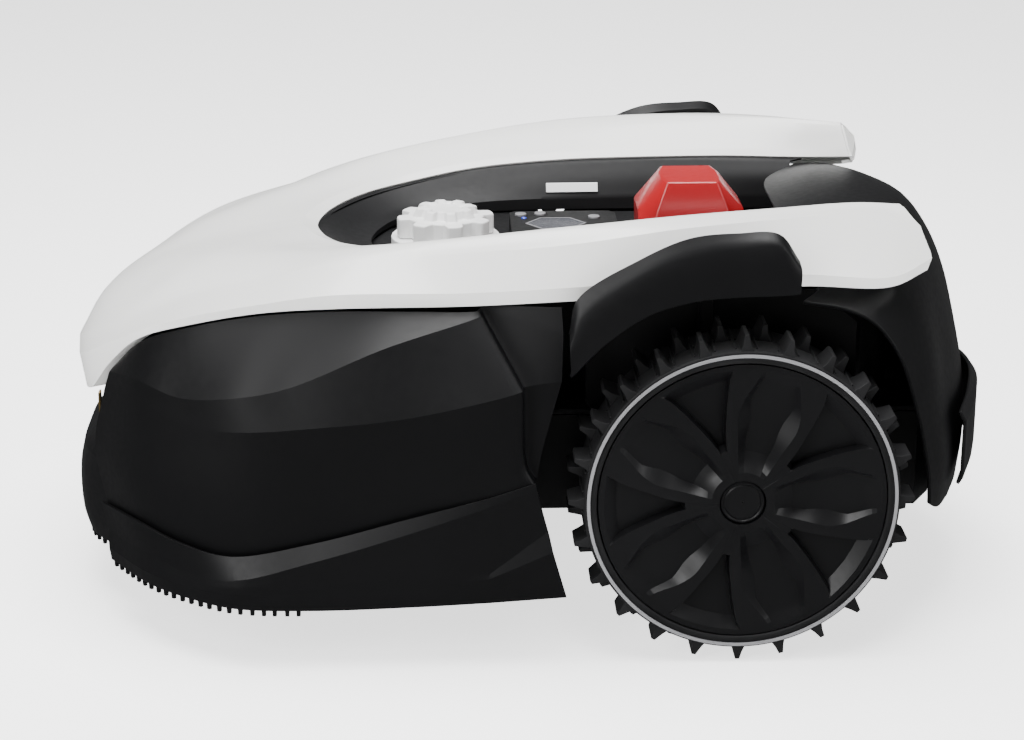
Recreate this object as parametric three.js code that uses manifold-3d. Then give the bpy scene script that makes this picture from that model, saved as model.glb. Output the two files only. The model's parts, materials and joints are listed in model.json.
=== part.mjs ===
// Robotic lawn mower, millimetres.
// +X is forward, +Y is the mower's left, +Z is up. The origin is on the ground, under the middle of the
// mower's outer box. Two lugged drive wheels stand near the back and one castor near the front.
// A floating outer shell covers a chassis tub, which holds the drive, the cutting deck and the console.
import * as THREE from "three";
import { mergeVertices } from "three/addons/utils/BufferGeometryUtils.js";
import { ConvexGeometry } from "three/addons/geometries/ConvexGeometry.js";
import Module from "manifold-3d";

const wasm = await Module();
wasm.setup();

// ---------------------------------------------------------------- driving dimensions
const LENGTH = 637;
const NOSE_X = LENGTH / 2;
const TAIL_X = -LENGTH / 2;
const GAP = 0.5; // between two pieces that touch
const FIT = 0.15; // a shaft's clearance in its hole
const WALL = 3; // shells
const AXLE_X = -128;
const LUG_TIP_R = 112;
const AXLE_Z = LUG_TIP_R;
const WHEEL_FACE_Y = 200;
const TYRE_WIDTH = 52;
const TYRE_R = 102.5;
const RIM_R = 94;
const RING_R = 99.4; // light trim ring on the tyre's outer wall
const LUG_COUNT = 24; // in each of two staggered rows
const SPOKES = 5;
const FLOOR_Z = 84;
const TUB_TOP_Z = 150;
const TUB_HALF_WIDTH = 134;
const TRAY_TOP_Z = 229;
const CONSOLE_Z = 241;
const DECK_X = 60; // cutting deck and height knob share this axis
const DISC_Z = 60;
const DISC_R = 82;
const BLADE_COUNT = 3;
const BLADE_PIVOT_R = 70;
const CASTOR_X = 238;
const CASTOR_TRAIL = 22;
const CASTOR_R = 36;
const STOP_X = -110;
const STOP_TOP_Z = 280;
const STOP_WAIST_Z = 259;

// ---------------------------------------------------------------- looks
const LOOKS = {
  white_shell: { color: 0xe8e8e4, roughness: 0.42, metalness: 0 },
  black_shell: { color: 0x202022, roughness: 0.55, metalness: 0 },
  black_inner: { color: 0x161617, roughness: 0.7, metalness: 0 },
  red_button: { color: 0xb01a20, roughness: 0.35, metalness: 0 },
  white_knob: { color: 0xe6e6e6, roughness: 0.5, metalness: 0 },
  tyre_rubber: { color: 0x1b1b1c, roughness: 0.85, metalness: 0 },
  wheel_black: { color: 0x1a1a1b, roughness: 0.45, metalness: 0 },
  trim_grey: { color: 0x8a8a8e, roughness: 0.5, metalness: 0 },
  steel: { color: 0x9a9c9e, roughness: 0.35, metalness: 1 },
  blade_steel: { color: 0xb5b7b9, roughness: 0.25, metalness: 1 },
  brass_contact: { color: 0xb08d4a, roughness: 0.35, metalness: 1 },
  lens: { color: 0x0c0f18, roughness: 0.12, metalness: 0 },
  battery_grey: { color: 0x4a4d52, roughness: 0.6, metalness: 0 },
  board_green: { color: 0x1f5a38, roughness: 0.5, metalness: 0 },
};

const mower = new THREE.Group();

function part(name, geometry, look, parent = mower) {
  const mesh = new THREE.Mesh(geometry, new THREE.MeshStandardMaterial(LOOKS[look]));
  mesh.name = name;
  parent.add(mesh);
  return mesh;
}

// ---------------------------------------------------------------- solids
function toSolid(geometry) {
  const bare = geometry.clone();
  bare.deleteAttribute("normal");
  bare.deleteAttribute("uv");
  const merged = mergeVertices(bare, 1e-4);
  return new wasm.Manifold(
    new wasm.Mesh({
      numProp: 3,
      vertProperties: new Float32Array(merged.attributes.position.array),
      triVerts: new Uint32Array(merged.index.array),
    }),
  );
}

function toGeometry(solid) {
  const mesh = solid.getMesh();
  const geometry = new THREE.BufferGeometry();
  geometry.setAttribute("position", new THREE.BufferAttribute(new Float32Array(mesh.vertProperties), 3));
  geometry.setIndex(new THREE.BufferAttribute(new Uint32Array(mesh.triVerts), 1));
  return geometry;
}

function cut(base, ...tools) {
  return toGeometry(tools.reduce((solid, tool) => solid.subtract(toSolid(tool)), toSolid(base)));
}

function join(base, ...more) {
  return toGeometry(more.reduce((solid, piece) => solid.add(toSolid(piece)), toSolid(base)));
}

function box(x0, x1, y0, y1, z0, z1) {
  const geometry = new THREE.BoxGeometry(x1 - x0, y1 - y0, z1 - z0);
  return geometry.translate((x0 + x1) / 2, (y0 + y1) / 2, (z0 + z1) / 2);
}

function upright(x, y, z0, z1, radius, sides = 24, topRadius = radius) {
  const geometry = new THREE.CylinderGeometry(topRadius, radius, z1 - z0, sides);
  return geometry.rotateX(Math.PI / 2).translate(x, y, (z0 + z1) / 2);
}

function crosswise(x, z, y0, y1, radius, sides = 24) {
  return new THREE.CylinderGeometry(radius, radius, y1 - y0, sides).translate(x, (y0 + y1) / 2, z);
}

// A plan outline, [x, y] points, raised from z0 to z1.
function planPrism(shape, z0, z1, curveSegments = 8) {
  const geometry = new THREE.ExtrudeGeometry(shape, { depth: z1 - z0, bevelEnabled: false, curveSegments });
  return geometry.translate(0, 0, z0);
}

// A side outline, [x, z] points, swept across from y0 to y1.
function sidePrism(shape, y0, y1, curveSegments = 8) {
  const geometry = new THREE.ExtrudeGeometry(shape, { depth: y1 - y0, bevelEnabled: false, curveSegments });
  return geometry.rotateX(Math.PI / 2).translate(0, y1, 0);
}

function outline(points) {
  return new THREE.Shape(points.map(([a, b]) => new THREE.Vector2(a, b)));
}

// A plan outline that is the same on both sides of the centreline, from its left half.
function symmetricOutline(leftHalf) {
  const rightHalf = [...leftHalf].reverse().map(([x, y]) => [x, -y]);
  return outline([...leftHalf, ...rightHalf]);
}

function mirrored(geometry) {
  const copy = geometry.clone().scale(1, -1, 1);
  const turned = copy.index ? copy.toNonIndexed() : copy;
  const position = turned.attributes.position;
  for (let i = 0; i < position.count; i += 3) {
    const [ax, ay, az] = [position.getX(i), position.getY(i), position.getZ(i)];
    position.setXYZ(i, position.getX(i + 1), position.getY(i + 1), position.getZ(i + 1));
    position.setXYZ(i + 1, ax, ay, az);
  }
  turned.deleteAttribute("normal");
  turned.deleteAttribute("uv");
  return mergeVertices(turned, 1e-4);
}

// ---------------------------------------------------------------- lofted shells
// Each rail is a smooth curve through [x, y, z] points. A shell spans neighbouring rails, with its outer
// face on them and its inner face one wall thickness inside.
function sampleRail(points, steps) {
  const curve = new THREE.CatmullRomCurve3(points.map((p) => new THREE.Vector3(...p)), false, "centripetal");
  return curve.getPoints(steps);
}

function offsetGrid(grid, distance) {
  const normalAt = (i, j) => {
    const across = new THREE.Vector3().subVectors(
      grid[Math.min(i + 1, grid.length - 1)][j],
      grid[Math.max(i - 1, 0)][j],
    );
    const row = grid[i];
    const along = new THREE.Vector3().subVectors(
      row[Math.min(j + 1, row.length - 1)],
      row[Math.max(j - 1, 0)],
    );
    return across.cross(along).normalize();
  };
  return grid.map((row, i) => row.map((point, j) => point.clone().addScaledVector(normalAt(i, j), distance)));
}

function shell(rails, steps, wall = WALL) {
  const outer = rails.map((rail) => sampleRail(rail, steps));
  const inner = offsetGrid(outer, -wall);
  const columns = steps + 1;
  const size = rails.length * columns;
  const positions = [...outer.flat(), ...inner.flat()].flatMap((p) => [p.x, p.y, p.z]);
  const index = [];
  const quad = (a, b, c, d) => index.push(a, b, c, a, c, d);
  for (let i = 0; i + 1 < rails.length; i += 1) {
    for (let j = 0; j < steps; j += 1) {
      const a = i * columns + j;
      quad(a, a + columns, a + columns + 1, a + 1);
      quad(size + a, size + a + 1, size + a + columns + 1, size + a + columns);
    }
    const [first, last] = [i * columns, i * columns + steps];
    quad(first, size + first, size + first + columns, first + columns);
    quad(last, last + columns, size + last + columns, size + last);
  }
  const lastRow = (rails.length - 1) * columns;
  for (let j = 0; j < steps; j += 1) {
    quad(j, j + 1, size + j + 1, size + j);
    quad(lastRow + j, size + lastRow + j, size + lastRow + j + 1, lastRow + j + 1);
  }
  const geometry = new THREE.BufferGeometry();
  geometry.setAttribute("position", new THREE.Float32BufferAttribute(positions, 3));
  geometry.setIndex(index);
  return geometry;
}

// The left rails, listed from the outside in, carried on over the centreline to the right side.
function bothSides(leftRails, centreRail) {
  const right = [...leftRails].reverse().map((rail) => rail.map(([x, y, z]) => [x, -y, z]));
  return [...leftRails, centreRail, ...right];
}

// ---------------------------------------------------------------- white top cover
// Half rails, from the rear end of the left arm to the middle of the nose. The last one is the edge of the
// opening, a horseshoe that runs out between the arms.
const COVER_LOWER = [
  [-250, 146, 251], [-222, 167, 246], [-165, 173, 249], [-88, 177, 245], [-21, 174, 241], [50, 167, 236],
  [135, 160, 233], [182, 152, 228], [228, 140, 217], [262, 122, 203], [285, 94, 178], [305, 50, 145],
  [315, 0, 134],
];
const COVER_UNDERCUT = [
  [-252, 149, 260], [-223, 171, 254], [-165, 177, 258], [-88, 179, 257], [-21, 177, 251], [50, 171, 246],
  [135, 163, 243], [185, 154, 234], [230, 140, 222], [264, 119, 206], [287, 92, 190], [309, 50, 170],
  [NOSE_X, 0, 158],
];
const COVER_SHOULDER = [
  [-246, 131, 277], [-218, 132, 286], [-160, 152, 288], [-88, 164, 285], [-21, 165, 276], [50, 155, 267],
  [135, 135, 256], [180, 122, 242], [222, 106, 229], [258, 90, 213], [283, 74, 200], [307, 42, 182],
  [318, 0, 169],
];
const COVER_BROW = [
  [-240, 125, 283], [-213, 127, 288], [-155, 145, 289], [-88, 155, 287.5], [-23, 159, 281.5],
  [45, 150, 273], [118, 132, 262], [165, 111, 250], [208, 92, 239], [243, 73, 228], [266, 55, 217],
  [288, 28, 207], [298, 0, 201],
];
const COVER_CREST = [
  [-235, 118, 288], [-207, 121, 290], [-150, 134, 290], [-88, 145, 288.5], [-23, 151, 284],
  [40, 144, 276], [100, 126, 266], [146, 98, 255.5], [188, 74, 247], [219, 52, 240], [238, 32, 234],
  [246, 14, 231], [248, 0, 230],
];
const COVER_BAND = [
  [-238, 107, 272], [-205, 108, 271.5], [-148, 110, 271.5], [-88, 114, 270.5], [-23, 116, 268],
  [41, 112, 262.5], [94, 97, 255.5], [121, 80, 253], [140, 58, 251], [151, 37, 250], [156.5, 18, 249.5],
  [158.5, 8, 249], [159, 0, 249],
];
const COVER_EDGE = [
  [-240, 104, 266], [-205, 104, 266], [-148, 106, 267], [-88, 109, 266], [-23, 110, 264], [40, 106, 259],
  [90, 92, 252], [115, 76, 249.5], [132, 55, 248], [142, 35, 247], [147, 17, 246.5], [148.5, 8, 246],
  [149, 0, 246],
];
const COVER_STEPS = 40;

function acrossNose(rail) {
  return [...rail, ...rail.slice(0, -1).reverse().map(([x, y, z]) => [x, -y, z])];
}

const coverRails = [
  COVER_LOWER, COVER_UNDERCUT, COVER_SHOULDER, COVER_BROW, COVER_CREST, COVER_BAND, COVER_EDGE,
].map(acrossNose);
part("top_cover", shell(coverRails, COVER_STEPS), "white_shell");

// ---------------------------------------------------------------- console well bezel
// A satin lining of the opening: it starts under the cover's rim and slopes down into the well.
const BEZEL_RIM = [
  [-196, 102, 263.5], [-88, 107, 263.5], [-23, 108, 261.5], [40, 104, 256.5], [90, 89, 249.5],
  [116, 71, 246.5], [136, 43, 244.5], [145, 0, 243.5],
];
const BEZEL_MIDDLE = [
  [-194, 95, 253], [-88, 99, 252], [-23, 99, 250], [36, 94, 245], [82, 79, 239], [106, 60, 237],
  [120, 36, 236], [127, 0, 236],
];
const BEZEL_INNER = [
  [-190, 92, 240], [-88, 93, 240], [-23, 92, 239], [32, 87, 238], [74, 72, 236], [94, 54, 235],
  [106, 32, 234], [112, 0, 234],
];
const BEZEL_WALL = 2;

const BEZEL_STEPS = 28;
const bezelRails = [BEZEL_RIM, BEZEL_MIDDLE, BEZEL_INNER].map(acrossNose);
part("well_bezel", shell(bezelRails, BEZEL_STEPS, BEZEL_WALL), "black_inner");

// ---------------------------------------------------------------- black side panels
// The upper facet leans in to the white cover. Behind its rear edge each panel steps in to a sunk strip
// that runs to the wheel arch.
const PANEL_TOP = [
  [284, 95, 174], [260, 122, 201], [228, 139, 215], [182, 151, 226], [135, 159, 231], [84, 164, 232],
  [41, 167, 233], [38, 162, 234], [-12, 174, 237],
];
const PANEL_CREASE = [
  [286, 98, 172], [262, 138, 179], [234, 162, 175], [196, 182, 181], [162, 184, 188], [100, 181, 213],
  [40, 170, 230], [37, 164, 231], [-13, 178, 220],
];
const PANEL_BELT = [
  [290, 98, 160], [262, 142, 162], [230, 168, 157], [192, 188, 160], [150, 194, 164], [84, 195, 171],
  [14, 193, 187], [12, 184, 187], [-12, 182, 190],
];
const PANEL_FACE = [
  [299, 93, 118], [268, 142, 114], [235, 170, 112], [200, 187, 112], [150, 193, 117], [84, 194, 126],
  [12, 190, 135], [10, 183, 135], [2, 182, 135],
];
const PANEL_BOTTOM = [
  [292, 98, 76], [264, 143, 80], [235, 166, 74], [200, 184, 71], [150, 189, 81], [84, 191, 100],
  [6, 191, 123], [4.5, 183, 124], [3, 182, 124],
];
const PANEL_STEPS = 16;
const SKIRT_STEPS = 14;
const SKIRT_WALL = 2.2;

const sidePanel = shell([PANEL_TOP, PANEL_CREASE, PANEL_BELT, PANEL_FACE, PANEL_BOTTOM], PANEL_STEPS);
part("left_side_panel", sidePanel, "black_shell");
part("right_side_panel", mirrored(sidePanel), "black_shell");

// ---------------------------------------------------------------- lower skirts with their comb edge
const SKIRT_TOP = [
  [296.5, 97, 77], [267, 145.5, 82], [238, 169.5, 76.5], [202, 188, 73.5], [150, 193, 83.5],
  [84, 195, 101.5], [35, 195.5, 114.5], [5, 195, 124],
];
const SKIRT_LEDGE = [
  [291, 106, 62], [262, 150, 64], [236, 172, 60], [200, 195, 61], [150, 199, 74], [84, 199, 94],
  [35, 197, 110], [4, 195.5, 120],
];
const SKIRT_FOLD = [
  [291, 108, 56], [262, 151, 57], [235, 174, 54], [200, 196, 56], [150, 199.5, 64], [84, 200, 78],
  [35, 199.8, 65], [-3, 196.5, 93],
];
const SKIRT_FACE = [
  [291, 110, 50], [262, 152, 50], [235, 175, 49], [200, 196, 51], [150, 200, 54], [84, 201, 58],
  [35, 201, 62], [-6, 201, 80],
];
const SKIRT_BOTTOM = [
  [290, 109, 41], [260, 150, 40], [233, 174, 40], [200, 193, 40], [150, 198, 40], [84, 199, 42],
  [35, 199.5, 44.5], [-15, 200, 48],
];
const TOOTH_COUNT = 22;
const TOOTH_WIDTH = 2.7;
const TOOTH_DROP = 4;
const TOOTH_REACH = 0.5; // share of the bottom edge that carries teeth

// Small square teeth that hang from a curved bottom edge, evenly spaced between two shares of its length.
function combTeeth(rail, count, start, end) {
  const curve = new THREE.CatmullRomCurve3(rail.map((p) => new THREE.Vector3(...p)), false, "centripetal");
  return Array.from({ length: count }, (_, i) => {
    const share = start + ((i + 0.5) / count) * (end - start);
    const at = curve.getPointAt(share);
    const along = curve.getTangentAt(share);
    const tooth = new THREE.BoxGeometry(TOOTH_WIDTH, WALL * 0.8, TOOTH_DROP * 2);
    tooth.rotateZ(Math.atan2(along.y, along.x));
    const inward = new THREE.Vector3(along.y, -along.x, 0).normalize().multiplyScalar(-WALL / 2);
    return tooth.translate(at.x + inward.x, at.y + inward.y, at.z);
  });
}

const skirt = join(
  shell([SKIRT_TOP, SKIRT_LEDGE, SKIRT_FOLD, SKIRT_FACE, SKIRT_BOTTOM], SKIRT_STEPS, SKIRT_WALL),
  ...combTeeth(SKIRT_BOTTOM, TOOTH_COUNT, 0, TOOTH_REACH),
);
part("left_skirt", skirt, "black_shell");
part("right_skirt", mirrored(skirt), "black_shell");

// ---------------------------------------------------------------- front bumper
// Level outlines of the bumper from its bottom edge up to the recess under the nose.
const BUMPER_LEVELS = [
  { z: 41, nose: NOSE_X - 4, side: 293, tuck: 113 },
  { z: 56, nose: NOSE_X, side: 297, tuck: 112 },
  { z: 86, nose: NOSE_X, side: 299, tuck: 103 },
  { z: 104, nose: NOSE_X - 4, side: 299, tuck: 102 },
  { z: 116, nose: 302, side: 296, tuck: 102 },
  { z: 128, nose: 298, side: 293, tuck: 102 },
  { z: 148, nose: 294, side: 288, tuck: 101 },
  { z: 165, nose: 288, side: 280, tuck: 99 },
];
const BUMPER_HALF_WIDTH = 90;
const BUMPER_TEETH = 22;
const BUMPER_TEETH_MARGIN = 0.11; // share of the bottom edge left plain at each end
const TUCK_BACK = 17; // how far a bumper end runs back behind its neighbour

function bumperRail({ z, nose, side, tuck }) {
  const shoulder = side + (nose - side) * 0.75;
  const half = [
    [side - TUCK_BACK, tuck, z], [side - TUCK_BACK / 3, BUMPER_HALF_WIDTH, z],
    [shoulder, BUMPER_HALF_WIDTH * 0.62, z],
  ];
  return [...half, [nose, 0, z], ...half.reverse().map(([x, y]) => [x, -y, z])];
}

const BUMPER_STEPS = 12;
const bumperRails = BUMPER_LEVELS.map(bumperRail);
const bumperEdge = [...bumperRails[0]].reverse();
const frontBumper = join(
  shell(bumperRails, BUMPER_STEPS),
  ...combTeeth(bumperEdge, BUMPER_TEETH, BUMPER_TEETH_MARGIN, 1 - BUMPER_TEETH_MARGIN),
);
part("front_bumper", frontBumper, "black_shell");

// ---------------------------------------------------------------- wheel fenders
const FENDER_INNER = [
  [-16, 183, 222], [-22, 182, 242], [-58, 181, 267], [-91, 181, 281], [-121, 181, 285], [-146, 181, 284],
  [-159, 183, 268],
];
const FENDER_TOP = [
  [-16, 191, 226], [-21, 190, 247], [-59, 190, 272], [-91, 190, 286], [-121, 190, 289], [-147, 190, 288],
  [-160, 191, 271],
];
const FENDER_CREASE = [
  [-16, 197, 218], [-24, 196, 236], [-60, 196, 263], [-92, 196, 275], [-122, 196, 280], [-147, 197, 281],
  [-161, 197, 266],
];
const FENDER_LIP = [
  [-17, 199, 198], [-36, 200, 218], [-64, 200, 238], [-92, 200, 247], [-121, 200, 250], [-145, 201, 251],
  [-160, 201, 252],
];
const FENDER_UNDER = [
  [-20, 188, 196], [-39, 188, 216], [-66, 188, 235], [-93, 188, 244], [-121, 188, 247], [-144, 188, 248],
  [-158, 188, 249],
];

const FENDER_STEPS = 12;
const FENDER_WALL = 2.4;
const fenderRails = [FENDER_INNER, FENDER_TOP, FENDER_CREASE, FENDER_LIP, FENDER_UNDER];
const fender = shell(fenderRails, FENDER_STEPS, FENDER_WALL);
part("left_fender", fender, "black_shell");
part("right_fender", mirrored(fender), "black_shell");

// ---------------------------------------------------------------- rear body and its bumper
// The rails run from the deck behind the console, over the top and down the tail.
const TAIL_CENTRE = [
  [-167, 0, 262], [-205, 0, 270], [-240, 0, 271], [-260, 0, 264], [-276, 0, 245], [-289, 0, 217],
  [-299, 0, 180], [-307, 0, 141], [-309, 0, 110], [-306, 0, 78],
];
const TAIL_INNER = [
  [-172, 60, 261], [-207, 60, 267.5], [-238, 60, 266], [-255, 60, 257], [-269, 60, 239], [-280, 60, 211],
  [-289, 60, 176], [-296, 60, 140], [-299, 60, 110], [-296, 60, 78],
];
const TAIL_OUTER = [
  [-200, 105, 261], [-216, 106, 261], [-233, 108, 257.5], [-246, 110, 244], [-257, 110, 228],
  [-266, 110, 202], [-273, 110, 170], [-279, 110, 138], [-282, 110, 110], [-280, 110, 80],
];
const TAIL_CORNER = [
  [-182, 148, 243], [-206, 149, 242], [-228, 148, 238], [-240, 146, 226], [-248, 146, 212],
  [-256, 147, 190], [-262, 147, 162], [-267, 147, 134], [-269, 146, 112], [-266, 146, 86],
];
const TAIL_ARCH = [
  [-166, 172, 239], [-192, 175, 235], [-211, 176, 226], [-224, 176, 212], [-233, 176, 196],
  [-240, 175, 176], [-246, 174, 156], [-251, 171, 135], [-255, 168, 116], [-257, 165, 96],
];
const TAIL_STEPS = 18;

part(
  "rear_body",
  // Reversed, because the rails run from the deck rearwards.
  shell(bothSides([TAIL_ARCH, TAIL_CORNER, TAIL_OUTER, TAIL_INNER], TAIL_CENTRE).reverse(), TAIL_STEPS),
  "black_shell",
);

const REAR_BUMPER_LEVELS = [
  { z: 90, tail: TAIL_X + 4, side: -286 },
  { z: 95, tail: TAIL_X, side: -289 },
  { z: 136, tail: TAIL_X, side: -289 },
  { z: 143, tail: TAIL_X + 5, side: -285 },
];
const REAR_BUMPER_HALF_WIDTH = 116;

function rearBumperRail({ z, tail, side }) {
  const shoulder = side + (tail - side) * 0.58;
  const half = [[side, -REAR_BUMPER_HALF_WIDTH, z], [shoulder, -REAR_BUMPER_HALF_WIDTH * 0.55, z]];
  return [...half, [tail, 0, z], ...half.reverse().map(([x, y]) => [x, -y, z])];
}

part("rear_bumper", shell(REAR_BUMPER_LEVELS.map(rearBumperRail), 8), "black_inner");

// ---------------------------------------------------------------- charging contacts under the nose
for (const [prefix, y] of [["left", 25], ["right", -25]]) {
  part(`${prefix}_charge_contact`, box(302.8, 304.3, y - 4, y + 4, 119, 133), "brass_contact");
}

// ---------------------------------------------------------------- drive wheels
// Each wheel is drawn at the origin with its outer face towards +Y, then carried to its axle end.
const WHEEL_SIDES = 48;
const COVER_SIDES = 40;
const RIM_SIDES = 32;
const FACET = (2 * Math.PI) / WHEEL_SIDES;
const LUG_BASE = 10;
const LUG_TIP = 3.2;
const LUG_ROOT_R = TYRE_R - 2.5;
const LUG_LENGTH = TYRE_WIDTH * 0.52;
const TYRE_INNER_FACE = -TYRE_WIDTH;
const AXLE_R = 8;
const TRIM_HALF_WIDTH = 1.4;
const HUB_CAP_R = 14.8;

// The profile's [radius, y] corners run clockwise, seen with the radius to the right and y up.
function ring(profile, sides) {
  const corners = [...profile, profile[0]].map(([r, y]) => new THREE.Vector2(r, y));
  return new THREE.LatheGeometry(corners.reverse(), sides);
}

function lug(angle, y0, y1) {
  const section = outline([
    [-LUG_BASE / 2, LUG_ROOT_R], [LUG_BASE / 2, LUG_ROOT_R],
    [LUG_TIP / 2, LUG_TIP_R], [-LUG_TIP / 2, LUG_TIP_R],
  ]);
  return sidePrism(section, y0, y1).rotateY(angle);
}

function tyre() {
  const shoulder = TYRE_R - 1.2;
  const profile = [
    [RIM_R, -1.5], [shoulder, -1.5], [TYRE_R, -5], [TYRE_R, TYRE_INNER_FACE], [RIM_R, TYRE_INNER_FACE],
  ];
  const carcass = ring(profile, WHEEL_SIDES).rotateY(FACET / 2);
  const lugs = Array.from({ length: LUG_COUNT }, (_, i) => [
    lug(2 * i * FACET, -LUG_LENGTH, -2),
    lug((2 * i + 1) * FACET, TYRE_INNER_FACE + 0.8, TYRE_INNER_FACE + LUG_LENGTH),
  ]);
  return join(carcass, ...lugs.flat());
}

function rim() {
  const bore = AXLE_R + FIT;
  const seat = RIM_R - GAP;
  return ring(
    [[bore, -16], [22, -16], [26, -24], [81, -24], [seat, -14], [seat, -46], [81, -30], [bore, -34]],
    RIM_SIDES,
  );
}

// A turbine cover: a shallow dish with five wishbone spokes that stand proud of it.
function wheelCover() {
  const dish = ring(
    [
      [16, -2.5], [27, -3], [34, -9], [83, -9.5], [RIM_R - GAP, -4.5], [RIM_R - GAP, -9], [81, -12.5],
      [16, -12.5],
    ],
    COVER_SIDES,
  );
  const leg = (side) => outline([[side * 4, 28], [side * 13, 28], [side * 29, 84], [side * 19, 87]]);
  const spokes = Array.from({ length: SPOKES }, (_, i) =>
    [-1, 1].map((side) => {
      const section = side > 0 ? leg(side) : outline([[-4, 28], [-19, 87], [-29, 84], [-13, 28]]);
      return sidePrism(section, -10.5, -5).rotateY((i / SPOKES) * 2 * Math.PI + Math.PI);
    }),
  );
  return join(dish, ...spokes.flat());
}

function wheel(side, prefix) {
  const group = new THREE.Group();
  group.position.set(AXLE_X, side * WHEEL_FACE_Y, AXLE_Z);
  group.rotation.z = side > 0 ? 0 : Math.PI;
  mower.add(group);
  part(`${prefix}_tyre`, tyre(), "tyre_rubber", group);
  part(`${prefix}_rim`, rim(), "wheel_black", group);
  part(`${prefix}_wheel_cover`, wheelCover(), "wheel_black", group);
  const [trimInner, trimOuter] = [RING_R - TRIM_HALF_WIDTH, RING_R + TRIM_HALF_WIDTH];
  const trim = ring([[trimInner, -1], [trimInner, 0], [trimOuter, 0], [trimOuter, -1]], WHEEL_SIDES);
  part(`${prefix}_trim_ring`, trim, "trim_grey", group);
  part(`${prefix}_hub_cap`, crosswise(0, 0, -12, -1.6, HUB_CAP_R, 24), "wheel_black", group);
  part(`${prefix}_axle`, crosswise(0, 0, -92, -14, AXLE_R, 16), "steel", group);
}

wheel(1, "left");
wheel(-1, "right");

// ---------------------------------------------------------------- chassis tub and lid
const TUB_HALF = [
  [-266, 0], [-266, 110], [-252, TUB_HALF_WIDTH], [10, TUB_HALF_WIDTH], [20, 150], [200, 150], [250, 110],
  [275, 70], [275, 0],
];
const TUB_INNER_HALF = [
  [-263, 0], [-263, 109], [-251, 131], [11, 131], [21, 147], [199, 147], [248, 108], [272, 69], [272, 0],
];
const FLOOR_TOP_Z = FLOOR_Z + WALL;
const LID_Z = TUB_TOP_Z + GAP;
const LID_TOP_Z = LID_Z + 3.5;
const DECK_HOLE_R = 50;
const CASTOR_STEM_R = 6;
const NUT_TUBE_R = 12;
const BATTERY_BAY = [-254, -171, -69, 69];

// Half outlines that start and end on the centreline.
function fullOutline(half) {
  return outline([...half, ...half.slice(1, -1).reverse().map(([x, y]) => [x, -y])]);
}

const axleHoles = [-1, 1].map((side) =>
  crosswise(AXLE_X, AXLE_Z, side > 0 ? 120 : -145, side > 0 ? 145 : -120, 12),
);
const [bayX0, bayX1, bayY0, bayY1] = BATTERY_BAY;

part(
  "base_pan",
  cut(
    planPrism(fullOutline(TUB_HALF), FLOOR_Z, TUB_TOP_Z),
    planPrism(fullOutline(TUB_INNER_HALF), FLOOR_TOP_Z, TUB_TOP_Z + 1),
    upright(DECK_X, 0, FLOOR_Z - 1, FLOOR_TOP_Z + 1, DECK_HOLE_R, 32),
    upright(CASTOR_X, 0, FLOOR_Z - 1, FLOOR_TOP_Z + 1, CASTOR_STEM_R + 1),
    box(bayX0, bayX1, bayY0, bayY1, FLOOR_Z - 1, FLOOR_TOP_Z + 1),
    ...axleHoles,
  ),
  "black_inner",
);

part(
  "chassis_lid",
  cut(
    planPrism(fullOutline(TUB_HALF), LID_Z, LID_TOP_Z),
    upright(DECK_X, 0, LID_Z - 1, LID_TOP_Z + 1, NUT_TUBE_R + 1.5),
  ),
  "black_inner",
);

const HATCH_MARGIN = 5;
part(
  "battery_hatch",
  box(
    bayX0 - HATCH_MARGIN, bayX1 + HATCH_MARGIN, bayY0 - HATCH_MARGIN, bayY1 + HATCH_MARGIN,
    FLOOR_Z - GAP - WALL, FLOOR_Z - GAP,
  ),
  "black_inner",
);
part("battery_pack", box(bayX0 + 2, bayX1 - 2, bayY0 + 3, bayY1 - 3, FLOOR_Z, 134), "battery_grey");
part("main_board", box(125, 205, -50, 50, 99, 101), "board_green");

for (const side of [-1, 1]) {
  const prefix = side > 0 ? "left" : "right";
  const span = (near, far) => (side > 0 ? [near, far] : [-far, -near]);
  part(
    `${prefix}_gearmotor`,
    cut(
      join(crosswise(AXLE_X, AXLE_Z, ...span(86, 130.5), 24), crosswise(AXLE_X, AXLE_Z, ...span(38, 88), 17)),
      crosswise(AXLE_X, AXLE_Z, ...span(107, 131), AXLE_R + FIT),
    ),
    "steel",
  );
  // The arch wall stands against the tub's side, with an upright rib.
  const wall = sidePrism(
    outline([
      [-196, 130], [-60, 130], [-30, 160], [-30, 218], [-52, 236], [-180, 236], [-208, 214], [-208, 160],
    ]),
    ...span(TUB_HALF_WIDTH + GAP, 137.5),
  );
  const axleWindow = crosswise(AXLE_X, AXLE_Z, ...span(130, 142), 30);
  const rib = box(-112, -104, ...span(137, 142), 150, 232);
  part(`${prefix}_wheel_liner`, cut(join(wall, rib), axleWindow), "black_inner");
}

// ---------------------------------------------------------------- posts that float the outer shell
const POST_R = 9;
for (const [name, x, y, top] of [
  ["front", 205, 0, 229], ["rear_left", -228, 88, 250], ["rear_right", -228, -88, 250],
]) {
  part(`float_post_${name}`, upright(x, y, LID_TOP_Z + GAP, top, POST_R, 16), "tyre_rubber");
}

// ---------------------------------------------------------------- console tray
const TRAY_HALF = [[-160, 0], [-160, 92], [32, 92], [74, 74], [100, 48], [112, 18], [112, 0]];
const TRAY_INNER_HALF = [[-157, 0], [-157, 89], [31, 89], [72, 72], [97, 47], [109, 17], [109, 0]];
const LIFT_SCREW_R = 7;
const STOP_STEM = [-138, -82, -24, 24];
const [stemX0, stemX1, stemY0, stemY1] = STOP_STEM;

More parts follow.
